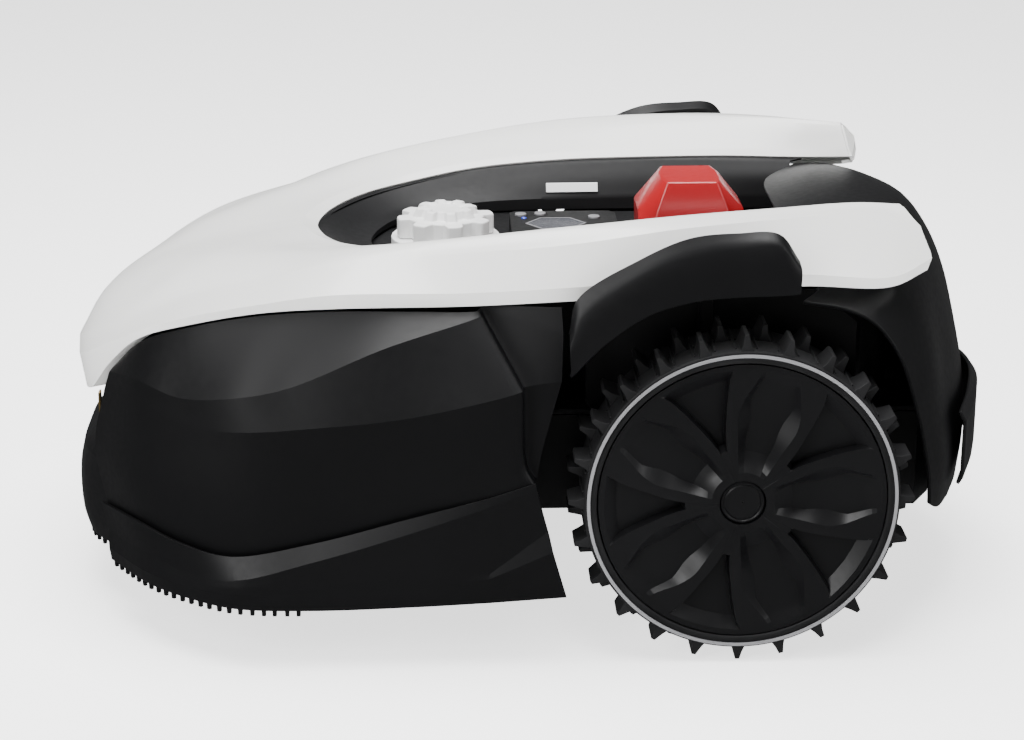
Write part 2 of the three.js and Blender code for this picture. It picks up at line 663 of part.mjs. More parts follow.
part(
  "console_tray",
  cut(
    planPrism(fullOutline(TRAY_HALF), LID_TOP_Z + GAP, TRAY_TOP_Z),
    planPrism(fullOutline(TRAY_INNER_HALF), LID_TOP_Z, TRAY_TOP_Z - WALL),
    upright(DECK_X, 0, TRAY_TOP_Z - 5, TRAY_TOP_Z + 1, LIFT_SCREW_R + 1),
    box(stemX0 - 1, stemX1 + 1, stemY0 - 1, stemY1 + 1, TRAY_TOP_Z - 5, TRAY_TOP_Z + 1),
  ),
  "black_inner",
);

// ---------------------------------------------------------------- console panel, display and keys
const PANEL_BASE_Z = TRAY_TOP_Z + GAP;
const CONSOLE_OUTLINE = [[-62, -42], [-62, 42], [0, 42], [14, 28], [14, -45], [10, -49], [-58, -49]];
const LENS_DEPTH = 2;
const LENS_NARROWING = 0.8;
const LENS_X = -18;
const LENS_Y = -14;
const LENS_RADIUS = 21;
const KEY_R = 4.2;
const KEY_TOP_Z = CONSOLE_Z + 1.2;
const KEY_FOOT_Z = CONSOLE_Z - 4;
const KEYS = [["power_button", 6, -38], ["home_button", -8, -40], ["start_button", -46, -30]];

// A hexagon a little longer along X than along Y.
function hexagon(x, y, radius) {
  const corner = (i) => {
    const angle = (i * Math.PI) / 3;
    return [x + radius * Math.cos(angle), y + radius * LENS_NARROWING * Math.sin(angle)];
  };
  return outline(Array.from({ length: 6 }, (_, i) => corner(i)));
}

part(
  "console_panel",
  cut(
    planPrism(outline(CONSOLE_OUTLINE), PANEL_BASE_Z, CONSOLE_Z),
    planPrism(hexagon(LENS_X, LENS_Y, LENS_RADIUS), CONSOLE_Z - LENS_DEPTH, CONSOLE_Z + 1),
    ...KEYS.map(([, x, y]) => upright(x, y, KEY_FOOT_Z - 1.5, CONSOLE_Z + 1, KEY_R + 0.3, 16)),
  ),
  "black_shell",
);
const lensOutline = hexagon(LENS_X, LENS_Y, LENS_RADIUS - GAP);
part("display_lens", planPrism(lensOutline, CONSOLE_Z - LENS_DEPTH + GAP, CONSOLE_Z + 0.2), "lens");
for (const [name, x, y] of KEYS) {
  part(name, upright(x, y, KEY_FOOT_Z, KEY_TOP_Z, KEY_R, 16), "trim_grey");
}

// ---------------------------------------------------------------- height knob, lift screw and deck
const KNOB_R = 34;
const KNOB_LOBES = 8;
const KNOB_FOOT_Z = 238;
const BASE_TOP_Z = KNOB_FOOT_Z - GAP;
const KNOB_TOP_Z = 252;

function knobOutline() {
  const rim = Array.from({ length: KNOB_LOBES * 4 }, (_, i) => {
    const radius = i % 4 < 2 ? KNOB_R : KNOB_R - 6;
    const angle = ((i + 0.5) / (KNOB_LOBES * 4)) * 2 * Math.PI;
    return [DECK_X + radius * Math.cos(angle), radius * Math.sin(angle)];
  });
  return outline(rim);
}

const HUB_TOP_Z = 258;
const knobHub = upright(DECK_X, 0, KNOB_TOP_Z - 1, HUB_TOP_Z, 19, 24, 16);
part("height_knob", join(planPrism(knobOutline(), KNOB_FOOT_Z, KNOB_TOP_Z), knobHub), "white_knob");
part(
  "knob_base",
  cut(
    upright(DECK_X, 0, TRAY_TOP_Z + GAP, BASE_TOP_Z, 38, 32),
    upright(DECK_X, 0, TRAY_TOP_Z, BASE_TOP_Z + 1, LIFT_SCREW_R + 1),
  ),
  "white_knob",
);
part("lift_screw", upright(DECK_X, 0, 128, KNOB_FOOT_Z - GAP, LIFT_SCREW_R, 16), "steel");

const CARRIER_R = 45;
const CARRIER_FOOT_Z = 66;
const CARRIER_TOP_Z = 140;
part(
  "deck_carrier",
  cut(
    join(
      upright(DECK_X, 0, CARRIER_FOOT_Z, CARRIER_TOP_Z, CARRIER_R, 32),
      upright(DECK_X, 0, CARRIER_TOP_Z - 1, 200, NUT_TUBE_R, 20),
    ),
    upright(DECK_X, 0, CARRIER_FOOT_Z - 1, CARRIER_TOP_Z - 4, CARRIER_R - WALL, 32),
    upright(DECK_X, 0, CARRIER_TOP_Z - 5, 201, LIFT_SCREW_R + 0.6, 20),
  ),
  "black_inner",
);

const SHAFT_R = 3;
const MOTOR_FOOT_Z = DISC_Z + 12;
part(
  "cutter_motor",
  join(
    upright(DECK_X, 0, MOTOR_FOOT_Z, 120, CARRIER_R - WALL - 1, 32),
    upright(DECK_X, 0, DISC_Z + 6, MOTOR_FOOT_Z + 1, SHAFT_R, 12),
  ),
  "steel",
);

const DISC_THICKNESS = 3;
const PIN_R = 2;
const PIN_HEAD_R = 4.5;
const BLADE_Z = DISC_Z - 2;
const bladePivots = Array.from({ length: BLADE_COUNT }, (_, i) => {
  const angle = (i / BLADE_COUNT) * 2 * Math.PI;
  return [DECK_X + BLADE_PIVOT_R * Math.cos(angle), BLADE_PIVOT_R * Math.sin(angle), angle];
});
const discPins = bladePivots.flatMap(([x, y]) => [
  upright(x, y, DISC_Z - 4, DISC_Z + 1, PIN_R, 12),
  upright(x, y, DISC_Z - 4, BLADE_Z - GAP, PIN_HEAD_R, 12),
]);
part(
  "cutter_disc",
  cut(
    join(
      upright(DECK_X, 0, DISC_Z, DISC_Z + DISC_THICKNESS, DISC_R, 40),
      upright(DECK_X, 0, DISC_Z + DISC_THICKNESS - 1, MOTOR_FOOT_Z - GAP, 9, 20),
      ...discPins,
    ),
    upright(DECK_X, 0, DISC_Z + 5, MOTOR_FOOT_Z + 1, SHAFT_R + FIT, 16),
  ),
  "black_inner",
);

const BLADE_HALF_WIDTH = 8;
bladePivots.forEach(([x, y, angle], i) => {
  const plate = outline([
    [-6, -5], [-6, 5], [-2, BLADE_HALF_WIDTH], [27, BLADE_HALF_WIDTH], [33, 4], [33, -4],
    [27, -BLADE_HALF_WIDTH], [-2, -BLADE_HALF_WIDTH],
  ]);
  const blade = cut(planPrism(plate, 0, 1), upright(0, 0, -1, 2, PIN_R + 0.3, 12));
  part(`blade_${i + 1}`, blade.rotateZ(angle).translate(x, y, BLADE_Z), "blade_steel");
});

// ---------------------------------------------------------------- front castor
const FORK_INNER_Y = 15;
const FORK_WALL = 3.5;
const CASTOR_AXLE_X = CASTOR_X - CASTOR_TRAIL;
const CROWN_Z = 75;
const CROWN_TOP_Z = FLOOR_Z - 2;
const CASTOR_PIN_R = 3;
const CASTOR_HALF_WIDTH = 12;

part(
  "castor_housing",
  cut(
    upright(CASTOR_X, 0, FLOOR_TOP_Z + GAP, 140, 14, 24),
    upright(CASTOR_X, 0, FLOOR_TOP_Z, 137, CASTOR_STEM_R + FIT, 24),
  ),
  "black_inner",
);

const forkLegs = [-1, 1].map((side) => {
  const leg = outline([
    [CASTOR_AXLE_X - 7, 30], [CASTOR_AXLE_X + 7, 30],
    [CASTOR_X + 8, CROWN_TOP_Z], [CASTOR_X - 26, CROWN_TOP_Z],
  ]);
  const y0 = side > 0 ? FORK_INNER_Y : -FORK_INNER_Y - FORK_WALL;
  return sidePrism(leg, y0, y0 + FORK_WALL);
});
part(
  "castor_fork",
  cut(
    join(
      box(CASTOR_X - 26, CASTOR_X + 8, -FORK_INNER_Y - 1, FORK_INNER_Y + 1, CROWN_Z, CROWN_TOP_Z),
      upright(CASTOR_X, 0, CROWN_TOP_Z - 1, 136, CASTOR_STEM_R, 16),
      ...forkLegs,
    ),
    crosswise(CASTOR_AXLE_X, CASTOR_R, -30, 30, CASTOR_PIN_R + FIT, 16),
  ),
  "black_shell",
);
part("castor_axle", crosswise(CASTOR_AXLE_X, CASTOR_R, -19, 19, CASTOR_PIN_R, 12), "steel");

const castorProfile = [
  [CASTOR_PIN_R + FIT, CASTOR_HALF_WIDTH], [CASTOR_R - 5, CASTOR_HALF_WIDTH], [CASTOR_R, 5], [CASTOR_R, -5],
  [CASTOR_R - 5, -CASTOR_HALF_WIDTH], [CASTOR_PIN_R + FIT, -CASTOR_HALF_WIDTH],
];
part("castor_wheel", ring(castorProfile, 32).translate(CASTOR_AXLE_X, 0, CASTOR_R), "tyre_rubber");

// ---------------------------------------------------------------- STOP block, its guide and spring
const STOP_FOOT_Z = TRAY_TOP_Z + 5.5;
const STEM_FOOT_Z = 211;
const GUIDE_FLOOR_Z = 186;
const SPRING_R = 12;
const SPRING_WIRE_R = 1.2;
const SPRING_TURNS = 4;

// Corners of the faceted cap, listed as [distance from the middle along X, half width, height].
const STOP_CORNERS = [
  [36, 20, STOP_FOOT_Z], [25, 31, STOP_FOOT_Z], [37, 17, STOP_WAIST_Z], [25, 31, STOP_WAIST_Z],
  [17, 24, STOP_TOP_Z], [20, 9, STOP_TOP_Z],
];

function stopButton() {
  const corners = STOP_CORNERS.flatMap(([dx, dy, z]) =>
    [[dx, dy], [dx, -dy], [-dx, dy], [-dx, -dy]].map(([x, y]) => new THREE.Vector3(STOP_X + x, y, z)),
  );
  return join(new ConvexGeometry(corners), box(...STOP_STEM, STEM_FOOT_Z, STOP_FOOT_Z + 1));
}

part("stop_button", stopButton(), "red_button");
part(
  "stop_guide",
  cut(
    box(stemX0 - 4, stemX1 + 4, stemY0 - 4, stemY1 + 4, GUIDE_FLOOR_Z, TRAY_TOP_Z - WALL - GAP),
    box(stemX0 - 1, stemX1 + 1, stemY0 - 1, stemY1 + 1, GUIDE_FLOOR_Z + WALL, TRAY_TOP_Z),
  ),
  "black_inner",
);

function coil(x, y, z0, z1) {
  class Helix extends THREE.Curve {
    getPoint(t) {
      const angle = t * SPRING_TURNS * 2 * Math.PI;
      const [across, along] = [SPRING_R * Math.cos(angle), SPRING_R * Math.sin(angle)];
      return new THREE.Vector3(x + across, y + along, z0 + (z1 - z0) * t);
    }
  }
  const wire = new THREE.Shape().absarc(0, 0, SPRING_WIRE_R, 0, 2 * Math.PI);
  const options = { extrudePath: new Helix(), steps: 40, curveSegments: 3, bevelEnabled: false };
  return new THREE.ExtrudeGeometry(wire, options);
}

const springMargin = SPRING_WIRE_R + GAP;
const spring = coil(STOP_X, 0, GUIDE_FLOOR_Z + WALL + springMargin, STEM_FOOT_Z - springMargin);
part("stop_spring", spring, "steel");

export default mower;
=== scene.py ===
"""Robotic lawn mower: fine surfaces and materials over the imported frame. Tables are in millimetres."""

import json
import math

import bmesh
import bpy
import numpy as np
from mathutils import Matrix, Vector


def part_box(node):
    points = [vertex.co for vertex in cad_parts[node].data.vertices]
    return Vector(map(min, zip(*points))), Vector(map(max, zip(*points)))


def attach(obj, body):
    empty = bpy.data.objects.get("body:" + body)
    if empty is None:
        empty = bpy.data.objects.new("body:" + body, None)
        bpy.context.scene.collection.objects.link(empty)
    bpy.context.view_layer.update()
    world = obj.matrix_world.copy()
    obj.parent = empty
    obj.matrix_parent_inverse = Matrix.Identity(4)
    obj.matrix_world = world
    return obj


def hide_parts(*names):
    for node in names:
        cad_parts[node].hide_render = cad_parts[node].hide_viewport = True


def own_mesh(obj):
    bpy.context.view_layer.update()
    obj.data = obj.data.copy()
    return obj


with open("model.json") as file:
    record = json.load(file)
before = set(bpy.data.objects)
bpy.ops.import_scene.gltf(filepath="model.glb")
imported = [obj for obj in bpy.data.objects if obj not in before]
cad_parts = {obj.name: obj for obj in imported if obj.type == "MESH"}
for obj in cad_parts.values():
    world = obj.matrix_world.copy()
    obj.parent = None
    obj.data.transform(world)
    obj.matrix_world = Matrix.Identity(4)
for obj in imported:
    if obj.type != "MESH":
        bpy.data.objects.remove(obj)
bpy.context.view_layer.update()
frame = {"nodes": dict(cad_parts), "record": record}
NODES = frame["nodes"]
MM = 0.001

# ---------------------------------------------------------------- camera and studio
CAMERA_AT = (0.07134, 1.65704, 0.69483)
CAMERA_FORWARD = (-0.033077, -0.947191, -0.318959)
CAMERA_LENS, CAMERA_SENSOR = 86.13, 36
AIR_STRENGTH = 0.14
FLOOR_REACH, FLOOR_GAP, FLOOR_GLOW = 6.0, 0.0002, 1.8
# name, place, aim, size and power of each lamp
SOFTBOXES = [
    ("top_softbox", (0.1, 0.1, 1.9), (0, 0, 0.1), (1.7, 1.3), 100),
    ("front_softbox", (1.3, 1.4, 1.1), (0.1, 0, 0.1), (0.7, 1.1), 28),
    ("rear_softbox", (-1.6, 0.9, 0.9), (-0.1, 0, 0.15), (0.7, 1.1), 8),
]


def studio():
    scene = bpy.context.scene
    data = bpy.data.cameras.new("camera")
    data.lens = CAMERA_LENS
    data.sensor_width = CAMERA_SENSOR
    data.clip_start = 0.01
    camera = bpy.data.objects.new("camera", data)
    camera.location = CAMERA_AT
    camera.rotation_euler = Vector(CAMERA_FORWARD).to_track_quat("-Z", "Y").to_euler()
    scene.collection.objects.link(camera)
    scene.camera = camera

    world = bpy.data.worlds.new("studio_air")
    world.use_nodes = True
    background = world.node_tree.nodes["Background"]
    background.inputs["Color"].default_value = (1, 1, 1, 1)
    background.inputs["Strength"].default_value = AIR_STRENGTH
    scene.world = world

    for name, at, aim, size, power in SOFTBOXES:
        light = bpy.data.lights.new(name, "AREA")
        light.shape = "RECTANGLE"
        light.size, light.size_y = size
        light.energy = power
        lamp = bpy.data.objects.new(name, light)
        lamp.location = at
        lamp.rotation_euler = (Vector(aim) - Vector(at)).to_track_quat("-Z", "Y").to_euler()
        scene.collection.objects.link(lamp)

    mesh = bpy.data.meshes.new("studio_floor")
    corners = [(x * FLOOR_REACH, y * FLOOR_REACH, 0) for x, y in ((-1, -1), (1, -1), (1, 1), (-1, 1))]
    mesh.from_pydata(corners, [], [(0, 1, 2, 3)])
    floor = bpy.data.objects.new("studio_floor", mesh)
    floor.location.z = -FLOOR_GAP
    scene.collection.objects.link(floor)
    paint = bpy.data.materials.new("studio_floor")
    paint.use_nodes = True
    bsdf = paint.node_tree.nodes["Principled BSDF"]
    bsdf.inputs["Base Color"].default_value = (0.9, 0.9, 0.9, 1)
    bsdf.inputs["Roughness"].default_value = 0.9
    bsdf.inputs["Emission Color"].default_value = (1, 1, 1, 1)
    bsdf.inputs["Emission Strength"].default_value = FLOOR_GLOW
    mesh.materials.append(paint)
    floor.visible_glossy = False


studio()

# ---------------------------------------------------------------- materials


class Nodes:
    """A material's node tree, with short calls to add and join nodes."""

    def __init__(self, name):
        self.material = bpy.data.materials.new(name)
        self.material.use_nodes = True
        self.tree = self.material.node_tree
        self.bsdf = self.tree.nodes["Principled BSDF"]
        self.place = self.tree.nodes.new("ShaderNodeTexCoord").outputs["Object"]

    def add(self, kind, values=None, **settings):
        node = self.tree.nodes.new(kind)
        for key, value in settings.items():
            setattr(node, key, value)
        for key, value in (values or {}).items():
            self.feed(node.inputs[key], value)
        return node

    def feed(self, socket, value):
        if isinstance(value, bpy.types.NodeSocket):
            self.tree.links.new(value, socket)
        else:
            socket.default_value = value

    def noise(self, scale, detail=2.0, rough=0.5, stretch=(1, 1, 1)):
        place = self.place
        if stretch != (1, 1, 1):
            place = self.add("ShaderNodeMapping", {"Vector": self.place, "Scale": stretch}).outputs[0]
        values = {"Vector": place, "Scale": scale, "Detail": detail, "Roughness": rough}
        node = self.add("ShaderNodeTexNoise", values)
        return node.outputs["Fac"]

    def ramp(self, value, low, high, to_low=0.0, to_high=1.0):
        node = self.add(
            "ShaderNodeMapRange",
            {"Value": value, "From Min": low, "From Max": high, "To Min": to_low, "To Max": to_high},
        )
        return node.outputs["Result"]

    def mix(self, share, a, b):
        node = self.add("ShaderNodeMix", data_type="RGBA")
        self.feed(node.inputs[0], share)
        self.feed(node.inputs[6], a)
        self.feed(node.inputs[7], b)
        return node.outputs[2]

    def bump(self, height, strength, distance, under=None):
        node = self.add("ShaderNodeBump", {"Height": height, "Strength": strength, "Distance": distance})
        if under is not None:
            self.feed(node.inputs["Normal"], under)
        return node.outputs["Normal"]

    def set(self, **values):
        for key, value in values.items():
            self.feed(self.bsdf.inputs[key.replace("_", " ")], value)
        return self.material


def rgba(r, g, b):
    return (r, g, b, 1)


def moulded(name, base, rough, grain, grain_depth, mottle, coat=0.0, scuffs=0.0, gloss=0.5):
    """Moulded plastic: a fine spark-eroded grain, slow colour and gloss drift, and faint handling scuffs."""
    n = Nodes(name)
    drift = n.noise(9, 3)
    dark = rgba(*[c * (1 - mottle) for c in base])
    light = rgba(*[min(1, c * (1 + mottle)) for c in base])
    colour = n.mix(n.ramp(drift, 0.35, 0.65), dark, light)
    sheen = n.ramp(n.noise(240, 3), 0.3, 0.7, rough - 0.03, rough + 0.03)
    if scuffs:
        streaks = n.ramp(n.noise(160, 5, 0.7, (1, 3, 0.25)), 0.62, 0.72, 0, scuffs)
        colour = n.mix(streaks, colour, rgba(*[min(1, c * 1.5 + 0.012) for c in base]))
    fine = n.bump(n.noise(grain, 2), 0.35, grain_depth)
    slow = n.bump(n.noise(6, 1), 0.012, 0.0006, fine)
    return n.set(
        Base_Color=colour, Roughness=sheen, Normal=slow, Coat_Weight=coat, Coat_Roughness=0.12,
        Specular_IOR_Level=gloss,
    )


def metal(name, base, rough, stretch):
    """Machined or drawn steel with fine lines along one direction."""
    n = Nodes(name)
    lines = n.noise(500, 3, 0.6, stretch)
    colour = n.mix(n.ramp(lines, 0.3, 0.7), rgba(*[c * 0.82 for c in base]), rgba(*base))
    normal = n.bump(lines, 0.25, 0.00005)
    sheen = n.ramp(n.noise(60, 3), 0.3, 0.7, rough - 0.06, rough + 0.08)
    return n.set(Base_Color=colour, Metallic=1.0, Roughness=sheen, Normal=normal)


def rubber(name, base):
    """Tyre rubber: matt, slightly blooming, with a fine pitted skin."""
    n = Nodes(name)
    bloom = n.ramp(n.noise(30, 4), 0.4, 0.7)
    colour = n.mix(bloom, rgba(*base), rgba(*[c * 1.5 for c in base]))
    pits = n.bump(n.noise(1300, 3, 0.6), 0.5, 0.00007)
    soft = n.bump(n.noise(70, 2), 0.12, 0.0006, pits)
    sheen = n.ramp(bloom, 0, 1, 0.62, 0.78)
    return n.set(Base_Color=colour, Roughness=sheen, Normal=soft, Specular_IOR_Level=0.24)


# moulded plastics: colour, roughness, grain scale, grain depth in metres, mottle, and what differs
PLASTICS = {
    "white_shell": ((0.74, 0.74, 0.725), 0.36, 900, 0.00001, 0.015, {"coat": 0.25}),
    "black_shell": ((0.0025, 0.0025, 0.0029), 0.43, 1500, 0.00003, 0.10, {"scuffs": 0.02, "gloss": 0.26}),
    "black_inner": ((0.005, 0.005, 0.0055), 0.5, 1100, 0.00005, 0.14, {"gloss": 0.22}),
    "red_button": ((0.33, 0.005, 0.009), 0.33, 1400, 0.00002, 0.05, {"coat": 0.2}),
    "white_knob": ((0.74, 0.74, 0.735), 0.42, 1300, 0.00003, 0.02, {}),
    "wheel_black": ((0.0040, 0.0040, 0.0045), 0.36, 1500, 0.00003, 0.14, {"scuffs": 0.02, "gloss": 0.3}),
    "trim_grey": ((0.17, 0.17, 0.178), 0.45, 1500, 0.00003, 0.05, {}),
    "lamp_blue": ((0.01, 0.04, 0.45), 0.2, 1500, 0.00001, 0.02, {"coat": 0.4}),
    "red_inset": ((0.46, 0.13, 0.14), 0.42, 1400, 0.00002, 0.04, {}),
    "lens": ((0.004, 0.006, 0.016), 0.22, 2000, 0.000004, 0.05, {"coat": 0.15, "gloss": 0.3}),
    "battery_grey": ((0.07, 0.075, 0.085), 0.5, 1300, 0.00004, 0.08, {}),
    "board_green": ((0.015, 0.10, 0.045), 0.4, 1800, 0.00003, 0.15, {"coat": 0.3}),
}
MATERIALS = {name: moulded(name, *values, **extra) for name, (*values, extra) in PLASTICS.items()}
MATERIALS["tyre_rubber"] = rubber("tyre_rubber", (0.0055, 0.0055, 0.006))
MATERIALS["steel"] = metal("steel", (0.52, 0.53, 0.54), 0.32, (1, 0.05, 1))
MATERIALS["blade_steel"] = metal("blade_steel", (0.62, 0.63, 0.64), 0.22, (0.05, 1, 1))
MATERIALS["brass_contact"] = metal("brass_contact", (0.72, 0.50, 0.20), 0.25, (1, 1, 0.05))
SLOT_OF = {s["node"]: s["material_slot"] for s in frame["record"]["subparts"]}
for node_name, node in NODES.items():
    node.data.materials.clear()
    node.data.materials.append(MATERIALS[SLOT_OF[node_name]])

# ---------------------------------------------------------------- mesh building


def piece(name, verts, faces, look, body, replaces=(), wall=0.0, bevel=0.0, segments=2, angle=22, slot=None):
    """A mesh of millimetre vertices that rides on a body, with rounded edges and even shading."""
    mesh = bpy.data.meshes.new(name)
    mesh.from_pydata([tuple(c * MM for c in v) for v in verts], [], faces)
    mesh.validate()
    mesh.polygons.foreach_set("use_smooth", [True] * len(mesh.polygons))
    mesh.materials.append(MATERIALS[look])
    obj = bpy.data.objects.new(name, mesh)
    bpy.context.scene.collection.objects.link(obj)
    if wall:
        solid = obj.modifiers.new("wall", "SOLIDIFY")
        solid.thickness = wall * MM
        solid.offset = -1
        solid.use_even_offset = False
    if bevel:
        soft = obj.modifiers.new("edges", "BEVEL")
        soft.width = bevel * MM
        soft.segments = segments
        soft.limit_method = "ANGLE"
        soft.angle_limit = math.radians(angle)
        soft.use_clamp_overlap = True
    shade = obj.modifiers.new("shade", "WEIGHTED_NORMAL")
    shade.keep_sharp = True
    shade.weight = 60
    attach(obj, body)
    if replaces:
        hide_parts(*replaces)
    return obj


def curve_points(points, steps):
    """A centripetal Catmull-Rom curve through the points, steps + 1 points evenly spread over its spans."""
    p = np.array(points, float)
    first, last = 2 * p[0] - p[1], 2 * p[-1] - p[-2]
    p = np.vstack([first, p, last])
    spans = len(p) - 3
    out = []
    for i in range(steps + 1):
        at = min(i / steps * spans, spans - 1e-9)
        k = int(at)
        t = at - k
        p0, p1, p2, p3 = p[k : k + 4]
        pairs = ((p0, p1), (p1, p2), (p2, p3))
        d0, d1, d2 = (max(np.dot(b - a, b - a) ** 0.25, 1e-6) for a, b in pairs)
        m1 = ((p1 - p0) / d0 - (p2 - p0) / (d0 + d1) + (p2 - p1) / d1) * d1
        m2 = ((p2 - p1) / d1 - (p3 - p1) / (d1 + d2) + (p3 - p2) / d2) * d1
        cubic, square = 2 * p1 - 2 * p2 + m1 + m2, -3 * p1 + 3 * p2 - 2 * m1 - m2
        out.append(cubic * t**3 + square * t**2 + m1 * t + p1)
    return np.array(out)


def loft(rails, along, across, sharp=(), straight=0):
    """Grid of points over the rails. The surface is smooth along them, and smooth across except at sharp rails.

    With straight, each rail's last span is a straight run of that many steps, with a crease where it starts.
    """
    rows = []
    for r in rails:
        if straight:
            near, far = np.array(r[-2]), np.array(r[-1])
            run = [near + (far - near) * k / straight for k in range(1, straight + 1)]
            rows.append(np.vstack([curve_points(r[:-1], along), run]))
        else:
            rows.append(curve_points(r, along))
    breaks = [0, *sorted(sharp), len(rails) - 1]
    grid = []
    for a, b in zip(breaks, breaks[1:]):
        group = rows[a : b + 1]
        count = across * (b - a)
        columns = [curve_points([row[j] for row in group], count) for j in range(len(rows[0]))]
        part = [[column[i] for column in columns] for i in range(count + 1)]
        grid += part if not grid else part[1:]
    return grid


def grid_faces(rows, columns, flip=False, closed=False):
    faces = []
    for i in range(rows - 1):
        for j in range(columns if closed else columns - 1):
            k = (j + 1) % columns
            quad = (i * columns + j, i * columns + k, (i + 1) * columns + k, (i + 1) * columns + j)
            faces.append(quad[::-1] if flip else quad)
    return faces


def loft_piece(name, rails, along, across, look, body, sharp=(), flip=True, straight=0, **options):
    """A skin over the rails. Its outside faces away when the rails run as on the left of the mower."""
    grid = loft(rails, along, across, sharp, straight)
    verts = [tuple(p) for row in grid for p in row]
    return piece(name, verts, grid_faces(len(grid), len(grid[0]), flip), look, body, **options)


def mirror_y(rail):
    return [(x, -y, z) for x, y, z in rail]


def across_nose(rail):
    return rail + mirror_y(rail[:-1])[::-1]


def on_both_sides(name, rails, *args, **options):
    """The left piece and its mirror image, each standing for its CAD node."""
    loft_piece(f"left_{name}_fine", rails, *args, replaces=[f"left_{name}"], **options)
    right = [mirror_y(r) for r in rails]
    loft_piece(f"right_{name}_fine", right, *args, flip=False, replaces=[f"right_{name}"], **options)


def turned(profile, sides, centre, axis="y"):
    """Verts and faces of a closed ring about an axis, from (radius, distance along it) rows, clockwise."""
    verts = []
    for r, d in profile:
        for k in range(sides):
            a = 2 * math.pi * k / sides
            c, s = r * math.cos(a), r * math.sin(a)
            offset = (c, d, s) if axis == "y" else (c, s, d)
            verts.append(tuple(centre[i] + offset[i] for i in range(3)))
    faces = grid_faces(len(profile), sides, closed=True)
    last = (len(profile) - 1) * sides
    for k in range(sides):
        n = (k + 1) % sides
        faces.append((last + k, last + n, n, k))
    return verts, faces


def outward(obj):
    """Turns a closed mesh's faces to point out."""
    bm = bmesh.new()
    bm.from_mesh(obj.data)
    bmesh.ops.recalc_face_normals(bm, faces=bm.faces)
    bm.to_mesh(obj.data)
    bm.free()
    return obj


BOX_QUADS = ((0, 3, 2, 1), (4, 5, 6, 7), (0, 1, 5, 4), (1, 2, 6, 5), (2, 3, 7, 6), (3, 0, 4, 7))


def box_faces(faces, first):
    """Adds the six faces of a box whose eight corners start at first."""
    for quad in BOX_QUADS:
        faces.append(tuple(first + i for i in quad))


def tube_faces(rows, sides):
    """Faces of a closed tube of rings, with a flat cap at each end."""
    last = (rows - 1) * sides
    return grid_faces(rows, sides, closed=True) + [
        tuple(range(sides))[::-1], tuple(last + k for k in range(sides)),
    ]


def block(verts, faces, centre, size, taper=1.0, turn=0.0):
    """Adds a box to a vertex and face list. taper scales its top; turn is about Z, in degrees."""
    first = len(verts)
    c, s = math.cos(math.radians(turn)), math.sin(math.radians(turn))
    for dz, k in ((-0.5, 1.0), (0.5, taper)):
        for dx, dy in ((-0.5, -0.5), (0.5, -0.5), (0.5, 0.5), (-0.5, 0.5)):
            x, y = dx * size[0] * k, dy * size[1] * k
            verts.append((centre[0] + x * c - y * s, centre[1] + x * s + y * c, centre[2] + dz * size[2]))
    box_faces(faces, first)


BODY_OF = {n: body for body, nodes in frame["record"]["behaviour"]["bodies"].items() for n in nodes}


def refined(node, bevel):
    """The node's own solid with its flat facets merged and its edges rounded."""
    bm = bmesh.new()
    bm.from_mesh(NODES[node].data)
    bmesh.ops.remove_doubles(bm, verts=bm.verts, dist=1e-6)
    bmesh.ops.dissolve_limit(bm, angle_limit=math.radians(1), verts=bm.verts, edges=bm.edges)
    verts = [tuple(c / MM for c in v.co) for v in bm.verts]
    bm.verts.index_update()
    faces = [tuple(v.index for v in f.verts) for f in bm.faces]
    bm.free()
    piece(
        f"{node}_fine", verts, faces, SLOT_OF[node], BODY_OF[node], replaces=[node], bevel=bevel, segments=3,
        angle=28,
    )


# ---------------------------------------------------------------- white top cover and the lining of its opening
COVER_LOWER = [
    (-250, 146, 251), (-222, 167, 246), (-165, 173, 249), (-88, 177, 245), (-21, 174, 241), (50, 167, 236),
    (135, 160, 233), (182, 152, 228), (228, 140, 217), (262, 122, 203), (285, 94, 178), (305, 50, 145),
    (315, 0, 134),
]
COVER_UNDERCUT = [
    (-252, 149, 260), (-223, 171, 254), (-165, 177, 258), (-88, 179, 257), (-21, 177, 251), (50, 171, 246),
    (135, 163, 243), (185, 154, 234), (230, 140, 222), (264, 119, 206), (287, 92, 190), (309, 50, 170),
    (318.5, 0, 158),
]
COVER_SHOULDER = [
    (-246, 131, 277), (-218, 132, 286), (-160, 152, 288), (-88, 164, 285), (-21, 165, 276), (50, 155, 267),
    (135, 135, 256), (180, 122, 242), (222, 106, 229), (258, 90, 213), (283, 74, 200), (307, 42, 182),
    (318, 0, 169),
]
COVER_BROW = [
    (-240, 125, 283), (-213, 127, 288), (-155, 145, 289), (-88, 155, 287.5), (-23, 159, 281.5),
    (45, 150, 273), (118, 132, 262), (165, 111, 250), (208, 92, 239), (243, 73, 228), (266, 55, 217),
    (288, 28, 207), (298, 0, 201),
]
COVER_CREST = [
    (-235, 118, 288), (-207, 121, 290), (-150, 134, 290), (-88, 145, 288.5), (-23, 151, 284),
    (40, 144, 276), (100, 126, 266), (146, 98, 255.5), (188, 74, 247), (219, 52, 240), (238, 32, 234),
    (246, 14, 231), (248, 0, 230),
]
COVER_BAND = [
    (-238, 107, 272), (-205, 108, 271.5), (-148, 110, 271.5), (-88, 114, 270.5), (-23, 116, 268),
    (41, 112, 262.5), (94, 97, 255.5), (121, 80, 253), (140, 58, 251), (151, 37, 250), (156.5, 18, 249.5),
    (158.5, 8, 249), (159, 0, 249),
]
